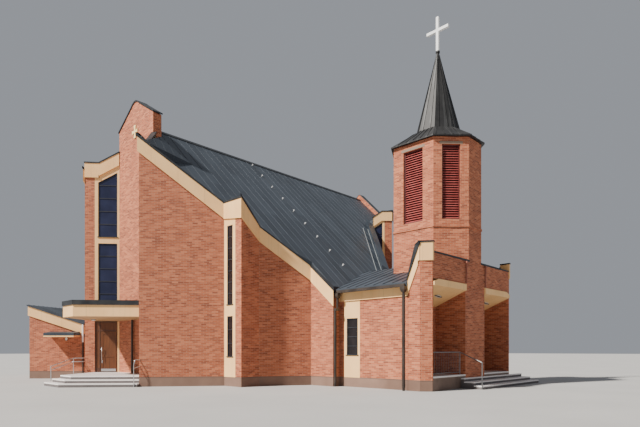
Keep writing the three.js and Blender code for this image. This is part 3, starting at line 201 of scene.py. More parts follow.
slab_stone, tree, shader = finish("slab_stone")
worn = weathered(tree, streak=0.3, cloud=0.5, grain=0.012)
walls = use(tree, wall_grid)
slabs = put(tree, "TexBrick", ("Vector", object_place(tree)), ("Scale", 1.0), ("Mortar Size", 0.003),
            ("Brick Width", SLAB[0]), ("Row Height", SLAB[1])).outputs
tread = shades(tree, worn["Grain"], (0.35, (0.40, 0.35, 0.35)), (0.65, (0.62, 0.56, 0.55)))
# Painted shade: faces that stand upright (the risers) are coloured far darker than the treads.
riser_painted_shade = shades(tree, worn["Grain"], (0.35, (0.060, 0.052, 0.055)), (0.65, (0.115, 0.102, 0.105)))
joint_tint = (0.18, 0.16, 0.16, 1)
tread = mixed(tree, figure(tree, "MULTIPLY", slabs["Fac"], 0.6), tread, joint_tint)
flat = figure(tree, "GREATER_THAN", walls["Level"], 0.5)
colored = mixed(tree, flat, riser_painted_shade, tread)
dust = (0.36, 0.31, 0.29, 1)
colored = mixed(tree, figure(tree, "MULTIPLY", worn["Clouds"], 0.3), colored, dust)
feed(tree, shader, colored, 0.72, worn["Grain"], 0.0015)
dress(slab_stone, "floor_slab", "side_steps", "porch_platform", "porch_steps")

rendered_base, tree, shader = finish("rendered_landing_side")
walls = use(tree, wall_grid)
worn = weathered(tree, streak=0.4, cloud=0.8, grain=0.015)
render_coat = shades(tree, worn["Clouds"], (0.3, (0.13, 0.085, 0.065)), (0.7, (0.22, 0.150, 0.118)))
slab = shades(tree, worn["Grain"], (0.35, (0.40, 0.36, 0.34)), (0.65, (0.58, 0.53, 0.50)))
upper = figure(tree, "GREATER_THAN", walls["Height"], LANDING_SLAB)
colored = mixed(tree, upper, render_coat, slab)
feed(tree, shader, colored, 0.8, worn["Grain"], 0.003)
dress(rendered_base, "side_landing_front", "side_landing_rear")


def coat(name, dark, light, scales, rough, relief, uneven=0.0, shade_by="Clouds", raised_by="Grain",
         metallic=0.0, specular=0.5):
    made, tree, shader = finish(name)
    worn = weathered(tree, *scales)
    tint = shades(tree, worn[shade_by], (0.3, dark), (0.7, light))
    gloss = figure(tree, "MULTIPLY_ADD", worn["Clouds"], uneven, rough) if uneven else rough
    feed(tree, shader, tint, gloss, worn[raised_by], relief)
    shader.inputs["Metallic"].default_value = metallic
    shader.inputs["Specular IOR Level"].default_value = specular
    return made


honed_stone = coat("honed_nosing_stone", dark=(0.74, 0.70, 0.69), light=(0.90, 0.87, 0.85),
                   scales=(0.3, 0.3, 0.008), shade_by="Grain", rough=0.4, uneven=0.2, relief=0.0005)


def welded(node):
    bm = bmesh.new()
    bm.from_mesh(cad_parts[node].data)
    bmesh.ops.remove_doubles(bm, verts=bm.verts, dist=0.0001)
    bmesh.ops.dissolve_limit(bm, angle_limit=0.01, verts=bm.verts, edges=bm.edges)
    bm.normal_update()
    return bm


def keep(bm, wanted):
    bmesh.ops.delete(bm, geom=[face for face in bm.faces if not wanted(face)], context="FACES")


def thickened(bm, step):
    made = bmesh.ops.extrude_face_region(bm, geom=bm.faces[:], use_keep_orig=True)
    moved = [v for v in made["geom"] if isinstance(v, bmesh.types.BMVert)]
    bmesh.ops.translate(bm, verts=moved, vec=step)
    bmesh.ops.recalc_face_normals(bm, faces=bm.faces)


def swollen(bm, out):
    bm.normal_update()
    moves = [(v, v.normal * (v.calc_shell_factor() * out)) for v in bm.verts]
    for vert, move in moves:
        vert.co += move


def show(thing):
    bpy.context.scene.collection.objects.link(thing)


def piece(name, bm, material, body="building", smooth=False):
    mesh = bpy.data.meshes.new(name)
    bm.to_mesh(mesh)
    bm.free()
    mesh.materials.append(material)
    for polygon in mesh.polygons:
        polygon.use_smooth = smooth
    made = bpy.data.objects.new(name, mesh)
    show(made)
    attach(made, body)
    return made


for node in ("side_steps", "porch_steps", "porch_platform", "side_landing_front", "side_landing_rear"):
    bm = welded(node)
    keep(bm, lambda face: face.normal.z > 0.9)
    rims = bmesh.ops.inset_region(bm, faces=bm.faces[:], thickness=NOSING, use_even_offset=True,
                                  use_boundary=True)
    keep(bm, lambda face: face in rims["faces"])
    bmesh.ops.translate(bm, verts=bm.verts, vec=(0, 0, -LET_IN))
    thickened(bm, (0, 0, LET_IN - 0.002))
    swollen(bm, PROUD)
    piece(node + "_nosing", bm, honed_stone)


# Cream boards: painted sheet over boarding along the tops of the walls, around the windows and
# over the entrances. Sheets about 1.2 m long butt with narrow shadow gaps and stain a little
# where rain runs down.
SHEET = 1.2
SHEET_GAP = 0.006

cream, tree, shader = finish("cream_board_paint")
walls = use(tree, wall_grid)
worn = weathered(tree, streak=0.12, cloud=0.9, grain=0.006)
paint = shades(tree, worn["Clouds"], (0.3, (0.84, 0.50, 0.21)), (0.7, (0.92, 0.58, 0.26)))
stain = figure(tree, "MULTIPLY", figure(tree, "GREATER_THAN", worn["Streaks"], 0.62), 0.10)
stain_tint = (0.42, 0.30, 0.17, 1)
paint = mixed(tree, stain, paint, stain_tint)
along = figure(tree, "FRACT", figure(tree, "DIVIDE", walls["Across"], SHEET))
gap = figure(tree, "LESS_THAN", along, SHEET_GAP)
gap_tint = (0.20, 0.13, 0.07, 1)
paint = mixed(tree, figure(tree, "MULTIPLY", gap, 0.6), paint, gap_tint)
grained = figure(tree, "MULTIPLY", worn["Grain"], 0.1)
feed(tree, shader, paint, figure(tree, "MULTIPLY_ADD", worn["Clouds"], 0.2, 0.45),
     figure(tree, "SUBTRACT", grained, gap), 0.002)
dress(cream, "fascia_right", "fascia_left", "rear_boards_right", "rear_boards_left",
      "link_board_front", "link_board_rear", "fin_cap_front", "fin_cap_rear",
      "side_canopy_front", "side_canopy_rear", "porch_canopy", "annex_verge")


# Pylon cross: a small plate in pale gilt paint, fixed upright on the front pylon's edge. It is
# cut 1.4 times as wide and 1.2 times as high as its solid.
CROSS_GROWTH = (1.0, 1.4, 1.2)

gilt = coat("pale_gilt_paint", dark=(0.90, 0.66, 0.30), light=(0.96, 0.76, 0.38),
            scales=(0.05, 0.2, 0.006), rough=0.35, relief=0.0004)
bm = welded("pylon_cross")
middle = sum((v.co for v in bm.verts), Vector()) / len(bm.verts)
bmesh.ops.scale(bm, verts=bm.verts, vec=CROSS_GROWTH, space=Matrix.Translation(-middle))
made = piece("pylon_cross_plate", bm, gilt)
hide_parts("pylon_cross")


# Copings: near-black folded sheet over the tops of the boards and parapets, turned down a finger's
# width at each edge and folded together every two metres.
COPING_LENGTH = 2.0
FACADE_TOP = 5.6

coping, tree, shader = finish("coping_sheet")
walls = use(tree, wall_grid)
worn = weathered(tree, streak=0.2, cloud=0.5, grain=0.01)
tint = shades(tree, worn["Clouds"], (0.3, (0.014, 0.016, 0.019)), (0.7, (0.035, 0.038, 0.042)))
along = figure(tree, "FRACT", figure(tree, "DIVIDE", walls["Across"], COPING_LENGTH))
fold = figure(tree, "LESS_THAN", along, 0.01)
feed(tree, shader, tint, figure(tree, "MULTIPLY_ADD", worn["Clouds"], 0.25, 0.32), fold, 0.004)
shader.inputs["Metallic"].default_value = 0.35
dress(coping, "pylon_coping")


def cap(node, above=0.0, out=0.022, thick=0.02, apron=0.0):
    bm = welded(node)
    keep(bm, lambda face: face.normal.z > 0.25 and face.calc_center_median().z > above)
    bmesh.ops.translate(bm, verts=bm.verts, vec=(0, 0, -apron))
    thickened(bm, (0, 0, thick + apron))
    swollen(bm, out)
    piece(node + "_coping", bm, coping)


for node in ("fascia_right", "fascia_left", "rear_boards_right", "rear_boards_left",
             "fin_cap_front", "fin_cap_rear"):
    cap(node)
cap("rear_pylon", out=0.010, thick=0.012)
cap("porch_canopy", out=0.045, apron=0.12)
cap("side_facade_front", above=FACADE_TOP)
cap("side_facade_rear", above=FACADE_TOP)


# Main roof: pre-painted graphite sheet in pans 530 mm wide between standing seams that run from
# the ridge to the eaves. It is turned up behind the boards, and a flat strip covers the ridge.
PAN = 0.53
PAN_LENGTH = 2.1
ROOF_REACH = (-10.07, 9.2)
RIDGE_STRIP = 0.16

roof_sheet, tree, shader = finish("graphite_roof_sheet")
worn = weathered(tree, streak=0.4, cloud=1.2, grain=0.05)
parts = put(tree, "SeparateXYZ", (0, object_place(tree))).outputs
pan = figure(tree, "FLOOR", figure(tree, "DIVIDE", parts[0], PAN))
shifted = figure(tree, "MULTIPLY_ADD", pan, 0.7, parts[1])
lap = figure(tree, "FLOOR", figure(tree, "DIVIDE", shifted, PAN_LENGTH))
number = put(tree, "CombineXYZ", (0, pan), (1, lap)).outputs[0]
own = put(tree, "TexWhiteNoise", (0, number)).outputs[0]
tone = figure(tree, "MULTIPLY_ADD", own, 0.35, figure(tree, "MULTIPLY", worn["Clouds"], 0.65))
tint = shades(tree, tone, (0.2, (0.026, 0.034, 0.046)), (0.8, (0.054, 0.068, 0.088)))
feed(tree, shader, tint, figure(tree, "MULTIPLY_ADD", worn["Clouds"], 0.2, 0.38), worn["Clouds"], 0.02)
shader.inputs["Metallic"].default_value = 0.3
dress(roof_sheet, "main_roof", "wing_roof", "annex_roof", "passage_roof", "annex_canopy")


def upstand(node, middle=(-1.0, 0.0), lift=0.045, thick=0.03):
    bm = welded(node)

    def turned_in(face):
        inward = Vector((*middle, 0)) - face.calc_center_median()
        inward.z = 0
        return abs(face.normal.z) < 0.3 and face.normal.dot(inward.normalized()) > 0.3

    keep(bm, lambda face: turned_in(face) and abs(face.calc_center_median().y) > 2.0)
    tops = {}
    for vert in bm.verts:
        spot = (round(vert.co.x, 3), round(vert.co.y, 3))
        if spot not in tops or tops[spot].co.z < vert.co.z:
            tops[spot] = vert
    bmesh.ops.translate(bm, verts=list(tops.values()), vec=(0, 0, lift))
    for face in list(bm.faces):
        sheet = bmesh.ops.extrude_face_region(bm, geom=[face], use_keep_orig=True)
        moved = [v for v in sheet["geom"] if isinstance(v, bmesh.types.BMVert)]
        bmesh.ops.translate(bm, verts=moved, vec=face.normal * thick)
    bmesh.ops.recalc_face_normals(bm, faces=bm.faces)
    piece(node + "_upstand", bm, roof_sheet)


for node in ("fascia_right", "fascia_left", "rear_boards_right", "rear_boards_left"):
    upstand(node)


def cut(bm, point, normal):
    bmesh.ops.bisect_plane(bm, geom=bm.verts[:] + bm.edges[:] + bm.faces[:], plane_co=point,
                           plane_no=normal, clear_outer=True)


def strip_of(bm, across, at, wide):
    strip = bm.copy()
    for side in (-1, 1):
        cut(strip, across * (at + side * wide / 2), across * side)
    return strip


def gather(whole, part):
    mesh = bpy.data.meshes.new("part")
    part.to_mesh(mesh)
    part.free()
    whole.from_mesh(mesh)
    bpy.data.meshes.remove(mesh)


def seams(node, across, places, wide=0.012, tall=0.024, level=0.25):
    top = welded(node)
    keep(top, lambda face: face.normal.z > level)
    whole = bmesh.new()
    for at in places:
        strip = strip_of(top, Vector(across), at, wide)
        if strip.faces:
            thickened(strip, (0, 0, tall))
            gather(whole, strip)
    top.free()
    return whole


def spread(start, end, step):
    return [start + step * i for i in range(int((end - start) / step) + 1)]


bm = seams("main_roof", (1, 0, 0), spread(*ROOF_REACH, PAN), tall=0.014)
piece("roof_seams", bm, roof_sheet)

bm = welded("main_roof")
keep(bm, lambda face: face.normal.z > 0.25)
for side in (-1, 1):
    cut(bm, (0, RIDGE_STRIP * side, 0), (0, side, 0))
thickened(bm, (0, 0, 0.03))
swollen(bm, 0.012)
piece("roof_ridge", bm, coping)


# Lightning rods: a stiff 12 mm wire down each slope of the main roof, from the ridge to the eaves,
# held clear of the sheet along one seam by white enamelled clamps on round stems.
PITCH = 0.95
RIDGE = 13.5
ROD_AT = -1.79
ROD_ENDS = (0.2, 8.35)
ROD_CLEAR = 0.12
CLAMPS = 9
FIRST_CLAMP = 0.36
CLAMP_STEP = 0.93

white_paint = coat("white_enamel", dark=(0.70, 0.71, 0.72), light=(0.84, 0.85, 0.86),
                   scales=(0.05, 0.4, 0.01), rough=0.3, uneven=0.2, relief=0.0003)


def turned(centre, along):
    run = Vector(along).normalized()
    return Matrix.Translation(centre) @ run.to_track_quat("Z", "Y").to_matrix().to_4x4()


def tube(bm, start, end, radius, sides=12):
    start, end = Vector(start), Vector(end)
    bmesh.ops.create_cone(bm, cap_ends=True, segments=sides, radius1=radius, radius2=radius,
                          depth=(end - start).length, matrix=turned((start + end) / 2, end - start))


def on_slope(side, out, above=0.0):
    return Vector((ROD_AT, -out * side, RIDGE - PITCH * out + above))


for side, name in ((1, "right"), (-1, "left")):
    lift = Vector((0, -PITCH * side, 1)).normalized()
    holders = bmesh.new()
    for i in range(CLAMPS):
        foot = on_slope(side, FIRST_CLAMP + CLAMP_STEP * i)
        tube(holders, foot - lift * 0.01, foot + lift * 0.07, 0.025, 10)
        tube(holders, foot + lift * 0.07, foot + lift * 0.10, 0.040, 10)
    piece("rod_holders_" + name, holders, white_paint)
    rod = bmesh.new()
    tube(rod, *[on_slope(side, out, ROD_CLEAR) for out in ROD_ENDS], 0.006, 6)
    piece("lightning_rod_" + name, rod, coping)


# Rear parapets: the brick walls that cut the roof off along the diagonals are clad in the roof's
# own sheet, over the top and down to a valley gutter whose two folded edges are bright zinc. The
# right one's end is clad too, beside the tall window.
SHEET_THICK = 0.02
VALLEY_EDGES = (0.05, 0.42)
VALLEY_REACH = (-3.8, -7.85)
CLAD_ABOVE = (0, 0, RIDGE - 0.6)

zinc = coat("zinc_flashing", dark=(0.40, 0.43, 0.45), light=(0.58, 0.61, 0.62), scales=(0.1, 0.4, 0.03),
            rough=0.4, relief=0.004, raised_by="Clouds", metallic=0.4)

for side, name in ((1, "right"), (-1, "left")):
    inward = Vector((-0.727, 0.686 * side, 0))
    bm = welded("rear_wall_" + name)
    keep(bm, lambda face: face.normal.dot(inward) > 0.98)
    cut(bm, CLAD_ABOVE, (0, PITCH * side, -1))
    foot = max(face.calc_center_median().dot(inward) for face in bm.faces)
    thickened(bm, inward * SHEET_THICK)
    piece("parapet_sheet_" + name, bm, roof_sheet)

    bm = welded("rear_wall_" + name)
    keep(bm, lambda face: 0.25 < face.normal.z < 0.95 and face.calc_area() > 0.02)
    thickened(bm, (0, 0, SHEET_THICK))
    swollen(bm, 0.024)
    piece("parapet_coping_" + name, bm, roof_sheet)

    bm = seams("main_roof", inward, [foot + edge for edge in VALLEY_EDGES], wide=0.028, tall=0.035)
    for limit, way in zip(VALLEY_REACH, (1, -1)):
        cut(bm, (0, limit * side, 0), (0, way * side, 0))
    bmesh.ops.holes_fill(bm, edges=[edge for edge in bm.edges if edge.is_boundary], sides=0)
    bmesh.ops.recalc_face_normals(bm, faces=bm.faces)
    piece("valley_edges_" + name, bm, zinc)

outward = Vector((-0.687, -0.7266, 0))
bm = welded("rear_wall_right")
keep(bm, lambda face: face.normal.dot(outward) > 0.98 and face.calc_center_median().y < -7.0)
cut(bm, CLAD_ABOVE, (0, PITCH, -1))
thickened(bm, outward * SHEET_THICK)
piece("parapet_end", bm, roof_sheet)


# Wing roof: the same graphite sheet laid low between nave and belfry, its seams running out to
# the two eaves at half-metre steps.
WING_REACH = (-13.6, -7.9)
WING_PAN = 0.5

bm = seams("wing_roof", (0, 1, 0), spread(*WING_REACH, WING_PAN))
piece("wing_roof_seams", bm, roof_sheet)


# Spire: near-black weathered sheet with greyer streaks, on an eight-sided skirt and needle. Two
# standing seams run up each face of the needle and four up each face of the skirt, and two
# collars ring the tip under the white cross.
TOWER = Vector((0, -12.36, 0))
SKIRT_FOOT, SKIRT_TOP, NEEDLE_TIP = 11.3, 12.12, 17

spire_sheet, tree, shader = finish("weathered_spire_sheet")
worn = weathered(tree, streak=0.16, cloud=0.8, grain=0.03)
tint = shades(tree, worn["Clouds"], (0.3, (0.012, 0.012, 0.013)), (0.7, (0.030, 0.030, 0.031)))
bloom = figure(tree, "MULTIPLY", figure(tree, "GREATER_THAN", worn["Streaks"], 0.56), 0.45)
bloom_tint = (0.070, 0.072, 0.075, 1)
tint = mixed(tree, bloom, tint, bloom_tint)
feed(tree, shader, tint, figure(tree, "MULTIPLY_ADD", worn["Clouds"], 0.25, 0.38), worn["Clouds"], 0.01)
shader.inputs["Metallic"].default_value = 0.45
dress(spire_sheet, "spire")


def spire_seams(count, lowest, highest, wide, tall):
    def on_face(face):
        middle = face.calc_center_median()
        return (face.normal.z > 0.03 and lowest < middle.z < highest
                and (middle - TOWER).xy.dot(face.normal.xy) > 0)

    top = welded("spire")
    keep(top, on_face)
    whole = bmesh.new()
    for i in range(count):
        turn = math.tau * (i + 0.5) / count
        out = Vector((math.cos(turn), math.sin(turn), 0))
        aside = Vector((-out.y, out.x, 0))
        strip = strip_of(top, aside, TOWER.dot(aside), wide)
        cut(strip, TOWER, -out)
        if strip.faces:
            thickened(strip, out * tall + Vector((0, 0, tall * 0.6)))
            gather(whole, strip)
    top.free()
    return whole


def eased(bm, by, segments=1):
    bmesh.ops.recalc_face_normals(bm, faces=bm.faces)
    bmesh.ops.bevel(bm, geom=bm.edges[:], offset=by, affect="EDGES", segments=segments, profile=0.5,
                    material=-1)


bm = spire_seams(16, SKIRT_TOP, NEEDLE_TIP, wide=0.022, tall=0.022)
piece("spire_seams", bm, spire_sheet)
bm = spire_seams(32, SKIRT_FOOT, SKIRT_TOP, wide=0.016, tall=0.02)
piece("spire_skirt_seams", bm, spire_sheet)

bm = bmesh.new()
for low, high, radius in ((15.75, 15.83, 0.13), (16.1, 16.2, 0.10)):
    tube(bm, TOWER + Vector((0, 0, low)), TOWER + Vector((0, 0, high)), radius, 16)
eased(bm, 0.012, segments=2)
piece("spire_collar", bm, spire_sheet)
dress(white_paint, "spire_cross")


# Belfry openings: 30 timber slats painted dark red, one to every 108 mm, let into a darker frame
# set back in the brickwork, with a nearly black board behind as painted shade, and a cast lintel above.
LOW, HIGH = 7.6, 10.97
SLATS = 30
SLAT = (0.15, 0.014)
SLAT_TILT = -0.75
SET_BACK = -0.15
BOARD_BACK = -0.29
FRAME_BAR = 0.05
HEAD_BAR = 0.06
CORNERS = [(0.61, -14.3), (1.75, -13.16), (1.75, -11.0), (0.61, -10.4),
           (-0.61, -10.4), (-1.75, -11.0), (-1.75, -13.16), (-0.61, -14.3)]
WIDTHS = {0: 0.83, 1: 1.04, 3: 0.83, 5: 1.04, 6: 0.83}

louvre_frame = coat("louvre_frame_paint", dark=(0.075, 0.014, 0.014), light=(0.120, 0.026, 0.024),
                    scales=(0.08, 0.3, 0.01), rough=0.4, uneven=0.2, relief=0.001)
louvre_paint = coat("louvre_paint", dark=(0.27, 0.048, 0.044), light=(0.40, 0.090, 0.080),
                    scales=(0.08, 0.3, 0.01), rough=0.4, uneven=0.2, relief=0.001)
# Painted shade: a nearly black board stands for the dark inside of the belfry behind the slats.
painted_shade_board = coat("painted_shade_board", dark=(0.010, 0.006, 0.006), light=(0.03, 0.016, 0.015),
                  scales=(0.2, 0.3, 0.02), rough=0.8, relief=0.001)
cast_lintel = coat("cast_lintel", dark=(0.17, 0.12, 0.085), light=(0.28, 0.205, 0.15),
                   scales=(0.06, 0.3, 0.008), shade_by="Grain", rough=0.85, relief=0.001)


def bar(bm, frame_of, centre, size):
    matrix = frame_of @ Matrix.Translation(centre) @ Matrix.Diagonal((*size, 1))
    bmesh.ops.create_cube(bm, size=1, matrix=matrix)


def wall_frame(start, end, way=1):
    run = (Vector((*end, 0)) - Vector((*start, 0))).normalized()
    out = Vector((run.y, -run.x, 0)) * way
    turn = Matrix(((run.x, out.x, 0), (run.y, out.y, 0), (0, 0, 1)))
    return Matrix.Translation((*start, 0)) @ turn.to_4x4()


slats = bmesh.new()
frames = bmesh.new()
backing = bmesh.new()
lintels = bmesh.new()
tall = HIGH - LOW
centre_height = (LOW + HIGH) / 2
pitch = (tall - 2 * HEAD_BAR) / SLATS
for first, wide in WIDTHS.items():
    start, end = CORNERS[first], CORNERS[first + 1]
    middle = math.dist(start, end) / 2
    spot = wall_frame(start, end)
    for i in range(SLATS):
        height = LOW + HEAD_BAR + pitch * (i + 0.5)
        tilted = Matrix.Translation((middle, SET_BACK, height)) @ Matrix.Rotation(SLAT_TILT, 4, "X")
        bar(slats, spot @ tilted, (0, 0, 0), (wide - 0.08, *SLAT))
    for x in (-1, 1):
        bar(frames, spot, (middle + x * (wide - FRAME_BAR) / 2, SET_BACK, centre_height),
            (FRAME_BAR, 0.14, tall - 0.002))
    for z in (LOW + 0.031, HIGH - 0.031):
        bar(frames, spot, (middle, SET_BACK, z), (wide - 2 * FRAME_BAR - 0.002, 0.14, HEAD_BAR))
    bar(backing, spot, (middle, BOARD_BACK, centre_height), (wide - 0.004, 0.03, tall - 0.004))
    bar(lintels, spot, (middle, 0.003, HIGH + 0.07), (wide + 0.22, 0.012, 0.12))
for bm in (slats, frames, backing, lintels):
    bmesh.ops.recalc_face_normals(bm, faces=bm.faces)
made = piece("louvre_slats", slats, louvre_paint)
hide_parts("belfry_louvres")
piece("louvre_frames", frames, louvre_frame)
piece("louvre_backing", backing, painted_shade_board)
piece("belfry_lintels", lintels, cast_lintel)


# Windows: dark solar glass in the tall windows and smoked glass in the narrow ones, in slim
# graphite bars, let into a cream surround that fills the opening from wall to wall. A dark sill
# lies at the foot of every pane.
SUNK = 0.03
GLASS_PROUD = 0.008
BAR_WIDE = 0.028
BAR_PROUD = 0.03
RIM_WIDE = 0.04
RIM_PROUD = 0.036

glass = coat("solar_glass", dark=(0.011, 0.014, 0.038), light=(0.022, 0.027, 0.066),
             scales=(0.5, 0.7, 0.3), rough=0.12, relief=0.002, raised_by="Clouds", specular=0.6)
smoked_glass = coat("smoked_glass", dark=(0.008, 0.007, 0.008), light=(0.020, 0.017, 0.018),
                    scales=(0.5, 0.5, 0.3), rough=0.16, relief=0.002, raised_by="Clouds", specular=0.35)
graphite = coat("graphite_bar_paint", dark=(0.016, 0.018, 0.024), light=(0.034, 0.037, 0.046),
                scales=(0.1, 0.3, 0.006), rough=0.45, relief=0.0004)


def lay_sill(bm, face, outward):
    low = min(v.co.z for v in face.verts)
    left, right = [v.co for v in face.verts if v.co.z < low + 0.01][:2]
    run = right - left
    level = Matrix((run.normalized(), outward, (0, 0, 1))).transposed().to_4x4()
    bar(bm, Matrix.Translation((left + right) / 2) @ level, (0, 0.045, 0.008),
        (run.length + 0.10, 0.09, 0.03))


def cross_bars(bm, panes, face, step, outward):
    low = min(v.co.z for v in face.verts)
    high = max(v.co.z for v in face.verts)
    count = max(1, round((high - low) / step))
    for i in range(1, count):
        strip = strip_of(panes, Vector((0, 0, 1)), low + (high - low) * i / count, BAR_WIDE)
        thickened(strip, outward * BAR_PROUD)
        gather(bm, strip)


def window(node, outward, step, glazing=glass):
    outward = Vector(outward).normalized()
    surround = piece(node + "_surround", welded(node), cream)
    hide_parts(node)
    panes = welded(node)
    front = max(face.calc_center_median().dot(outward) for face in panes.faces)
    keep(panes, lambda face: face.normal.dot(outward) > 0.99
         and face.calc_center_median().dot(outward) < front - SUNK)
    sills = bmesh.new()
    bars = bmesh.new()
    for face in list(panes.faces):
        lay_sill(sills, face, outward)
        cross_bars(bars, panes, face, step, outward)
    rims = panes.copy()
    ring = bmesh.ops.inset_individual(rims, faces=rims.faces[:], thickness=RIM_WIDE,
                                      use_even_offset=True)
    keep(rims, lambda face: face in ring["faces"])
    thickened(rims, outward * RIM_PROUD)
    gather(bars, rims)
    thickened(panes, outward * GLASS_PROUD)
    piece(node + "_panes", panes, glazing)
    piece(node + "_bars", bars, graphite)
    eased(sills, 0.004)
    piece(node + "_sills", sills, coping)


window("corner_window_right", (-1, 0, 0), 0.56, smoked_glass)
window("corner_window_left", (-1, 0, 0), 0.56, smoked_glass)
window("front_window_right", (-0.6647, 0.7471, 0), 0.66)
window("front_window_left", (-0.6647, -0.7471, 0), 0.66)
window("rear_window_right", (-0.7257, -0.688, 0), 0.8)
window("rear_window_left", (-0.7257, 0.688, 0), 0.8)
window("link_window_front", (-1, 0, 0), 0.43, smoked_glass)
window("link_window_rear", (1, 0, 0), 0.43, smoked_glass)


# Main door: a stained timber leaf of framed panels, hung on two pins in a frame that fills the
# window wall under the canopy, with a cream post beside the pylon, a steel pull and a kick plate.
PORCH_WALL = wall_frame((-9.24, 1.84), (-10.6, 3.05), way=-1)
FACE = -0.06
PANEL_PROUD = 0.012
LEAF = (0.185, 0.994)
LEAF_RISE = (0.5, 2.69)
LEAF_RAILS = (0.6, 1.36, 2.62)
LEAF_MIDDLE = 0.59
LOCK_SIDE = 0.93
PULL_RISE = (1.15, 1.85)
PLATE_AT = FACE + 0.0145
POST_CENTRE, POST_TALL = 1.87, 2.77
FRAME_POSTS = ((1.045, 0.06), (1.27, 0.055))
HEAD_BARS = (2.75, 3.22)

timber, tree, shader = finish("stained_timber")
walls = use(tree, wall_grid)
worn = weathered(tree, streak=0.03, cloud=0.6, grain=0.01)
veins = put(tree, "CombineXYZ", (0, figure(tree, "MULTIPLY", walls["Across"], 38.0)),
            (1, figure(tree, "MULTIPLY", walls["Height"], 1.6))).outputs[0]
figured = put(tree, "TexNoise", ("Vector", veins), ("Scale", 1.0), ("Detail", 5.0),
              ("Distortion", 0.6)).outputs[0]
tint = shades(tree, figured, (0.3, (0.078, 0.024, 0.006)), (0.55, (0.135, 0.043, 0.010)),
              (0.75, (0.185, 0.064, 0.016)))
feed(tree, shader, tint, figure(tree, "MULTIPLY_ADD", worn["Clouds"], 0.2, 0.35), figured, 0.001)
dress(timber, "main_door", "main_door_frame", "side_door_front", "side_door_rear")

steel, tree, shader = finish("brushed_steel")
drawn = put(tree, "Mapping", ("Vector", object_place(tree)), ("Scale", (260.0, 260.0, 14.0)))
lines = put(tree, "TexNoise", ("Vector", drawn.outputs[0]), ("Scale", 1.0), ("Detail", 2.0)).outputs[0]
tint = shades(tree, lines, (0.3, (0.52, 0.53, 0.54)), (0.7, (0.68, 0.69, 0.70)))
feed(tree, shader, tint, figure(tree, "MULTIPLY_ADD", lines, 0.15, 0.25), lines, 0.0003)
shader.inputs["Metallic"].default_value = 0.95

dark_timber = coat("dark_frame_timber", dark=(0.055, 0.020, 0.010), light=(0.11, 0.042, 0.020),
                   scales=(0.03, 0.3, 0.01), shade_by="Streaks", raised_by="Streaks", rough=0.45,
                   relief=0.0008)


def framed_leaf(spot, sides, rise, face, rails, stile=0.11, rail=0.13):
    left, right = sides
    low, high = rise
    depth = face + PANEL_PROUD / 2
    between = right - left - 2 * stile - 0.002
    bm = bmesh.new()
    for x in (left + stile / 2, right - stile / 2):
        bar(bm, spot, (x, depth, (low + high) / 2), (stile, PANEL_PROUD, high - low))
    for z in rails:
        bar(bm, spot, ((left + right) / 2, depth, z), (between, PANEL_PROUD, rail))
    eased(bm, 0.003)
    return bm


bm = framed_leaf(PORCH_WALL, LEAF, LEAF_RISE, FACE, LEAF_RAILS)
piece("door_leaf_panels", bm, timber, "door_leaf")


def at_lock(depth, z):
    return PORCH_WALL @ Vector((LOCK_SIDE, FACE + PANEL_PROUD + depth, z))


low, high = PULL_RISE
bm = bmesh.new()
tube(bm, at_lock(0.06, low), at_lock(0.06, high), 0.014, 16)
for z in (low + 0.08, high - 0.08):
    tube(bm, at_lock(-0.002, z), at_lock(0.058, z), 0.008, 12)
piece("door_pull", bm, steel, "door_leaf", smooth=True)

bm = bmesh.new()
bar(bm, PORCH_WALL, (LEAF_MIDDLE, PLATE_AT, LEAF_RAILS[0]), (0.78, 0.003, 0.14))
bar(bm, PORCH_WALL, (LOCK_SIDE, PLATE_AT, 1.06), (0.045, 0.004, 0.16))
eased(bm, 0.001)
piece("door_plates", bm, steel, "door_leaf")

bm = bmesh.new()
for x, wide in FRAME_POSTS:
    bar(bm, PORCH_WALL, (x, FACE + 0.01, POST_CENTRE), (wide, 0.02, POST_TALL))
for z in HEAD_BARS:
    bar(bm, PORCH_WALL, (0.72, FACE + 0.01, z), (1.02, 0.018, 0.07))
bar(bm, PORCH_WALL, (1.16, FACE + 0.006, 0.62), (0.16, 0.012, 0.2))
bmesh.ops.recalc_face_normals(bm, faces=bm.faces)
piece("door_frame_bars", bm, dark_timber)

bm = bmesh.new()
bar(bm, PORCH_WALL, (0.055, FACE + 0.025, POST_CENTRE), (0.10, 0.05, POST_TALL))
eased(bm, 0.006, segments=2)
piece("door_post", bm, cream)


# Side doors: the same framed timber leaves deep in the two entrance recesses, closed with a
# lever on a steel plate.
SIDE_FACE = 12.7
SIDE_LEAF = (-3.088, -2.092)
SIDE_RISE = (0.605, 2.745)
SIDE_RAILS = (0.68, 1.55, 2.67)
LEVER_HEIGHT = 1.62

for side, name in ((1, "front"), (-1, "rear")):
    spot = Matrix.Diagonal((side, -1, 1, 1))
    bm = framed_leaf(spot, SIDE_LEAF, SIDE_RISE, SIDE_FACE, SIDE_RAILS)
    piece("side_door_panels_" + name, bm, timber)
    bm = bmesh.new()
    lock = SIDE_LEAF[1] - 0.055
    stem = ((lock, SIDE_FACE + 0.01), (lock, SIDE_FACE + 0.06))
    grip = ((lock + 0.005, SIDE_FACE + 0.057), (lock - 0.125, SIDE_FACE + 0.057))
    bar(bm, spot, (lock, SIDE_FACE + 0.014, LEVER_HEIGHT - 0.02), (0.04, 0.004, 0.24))
    for rod in (stem, grip):
        tube(bm, *[spot @ Vector((*end, LEVER_HEIGHT)) for end in rod], 0.009, 12)
    bmesh.ops.recalc_face_normals(bm, faces=bm.faces)
    piece("side_door_lever_" + name, bm, steel)


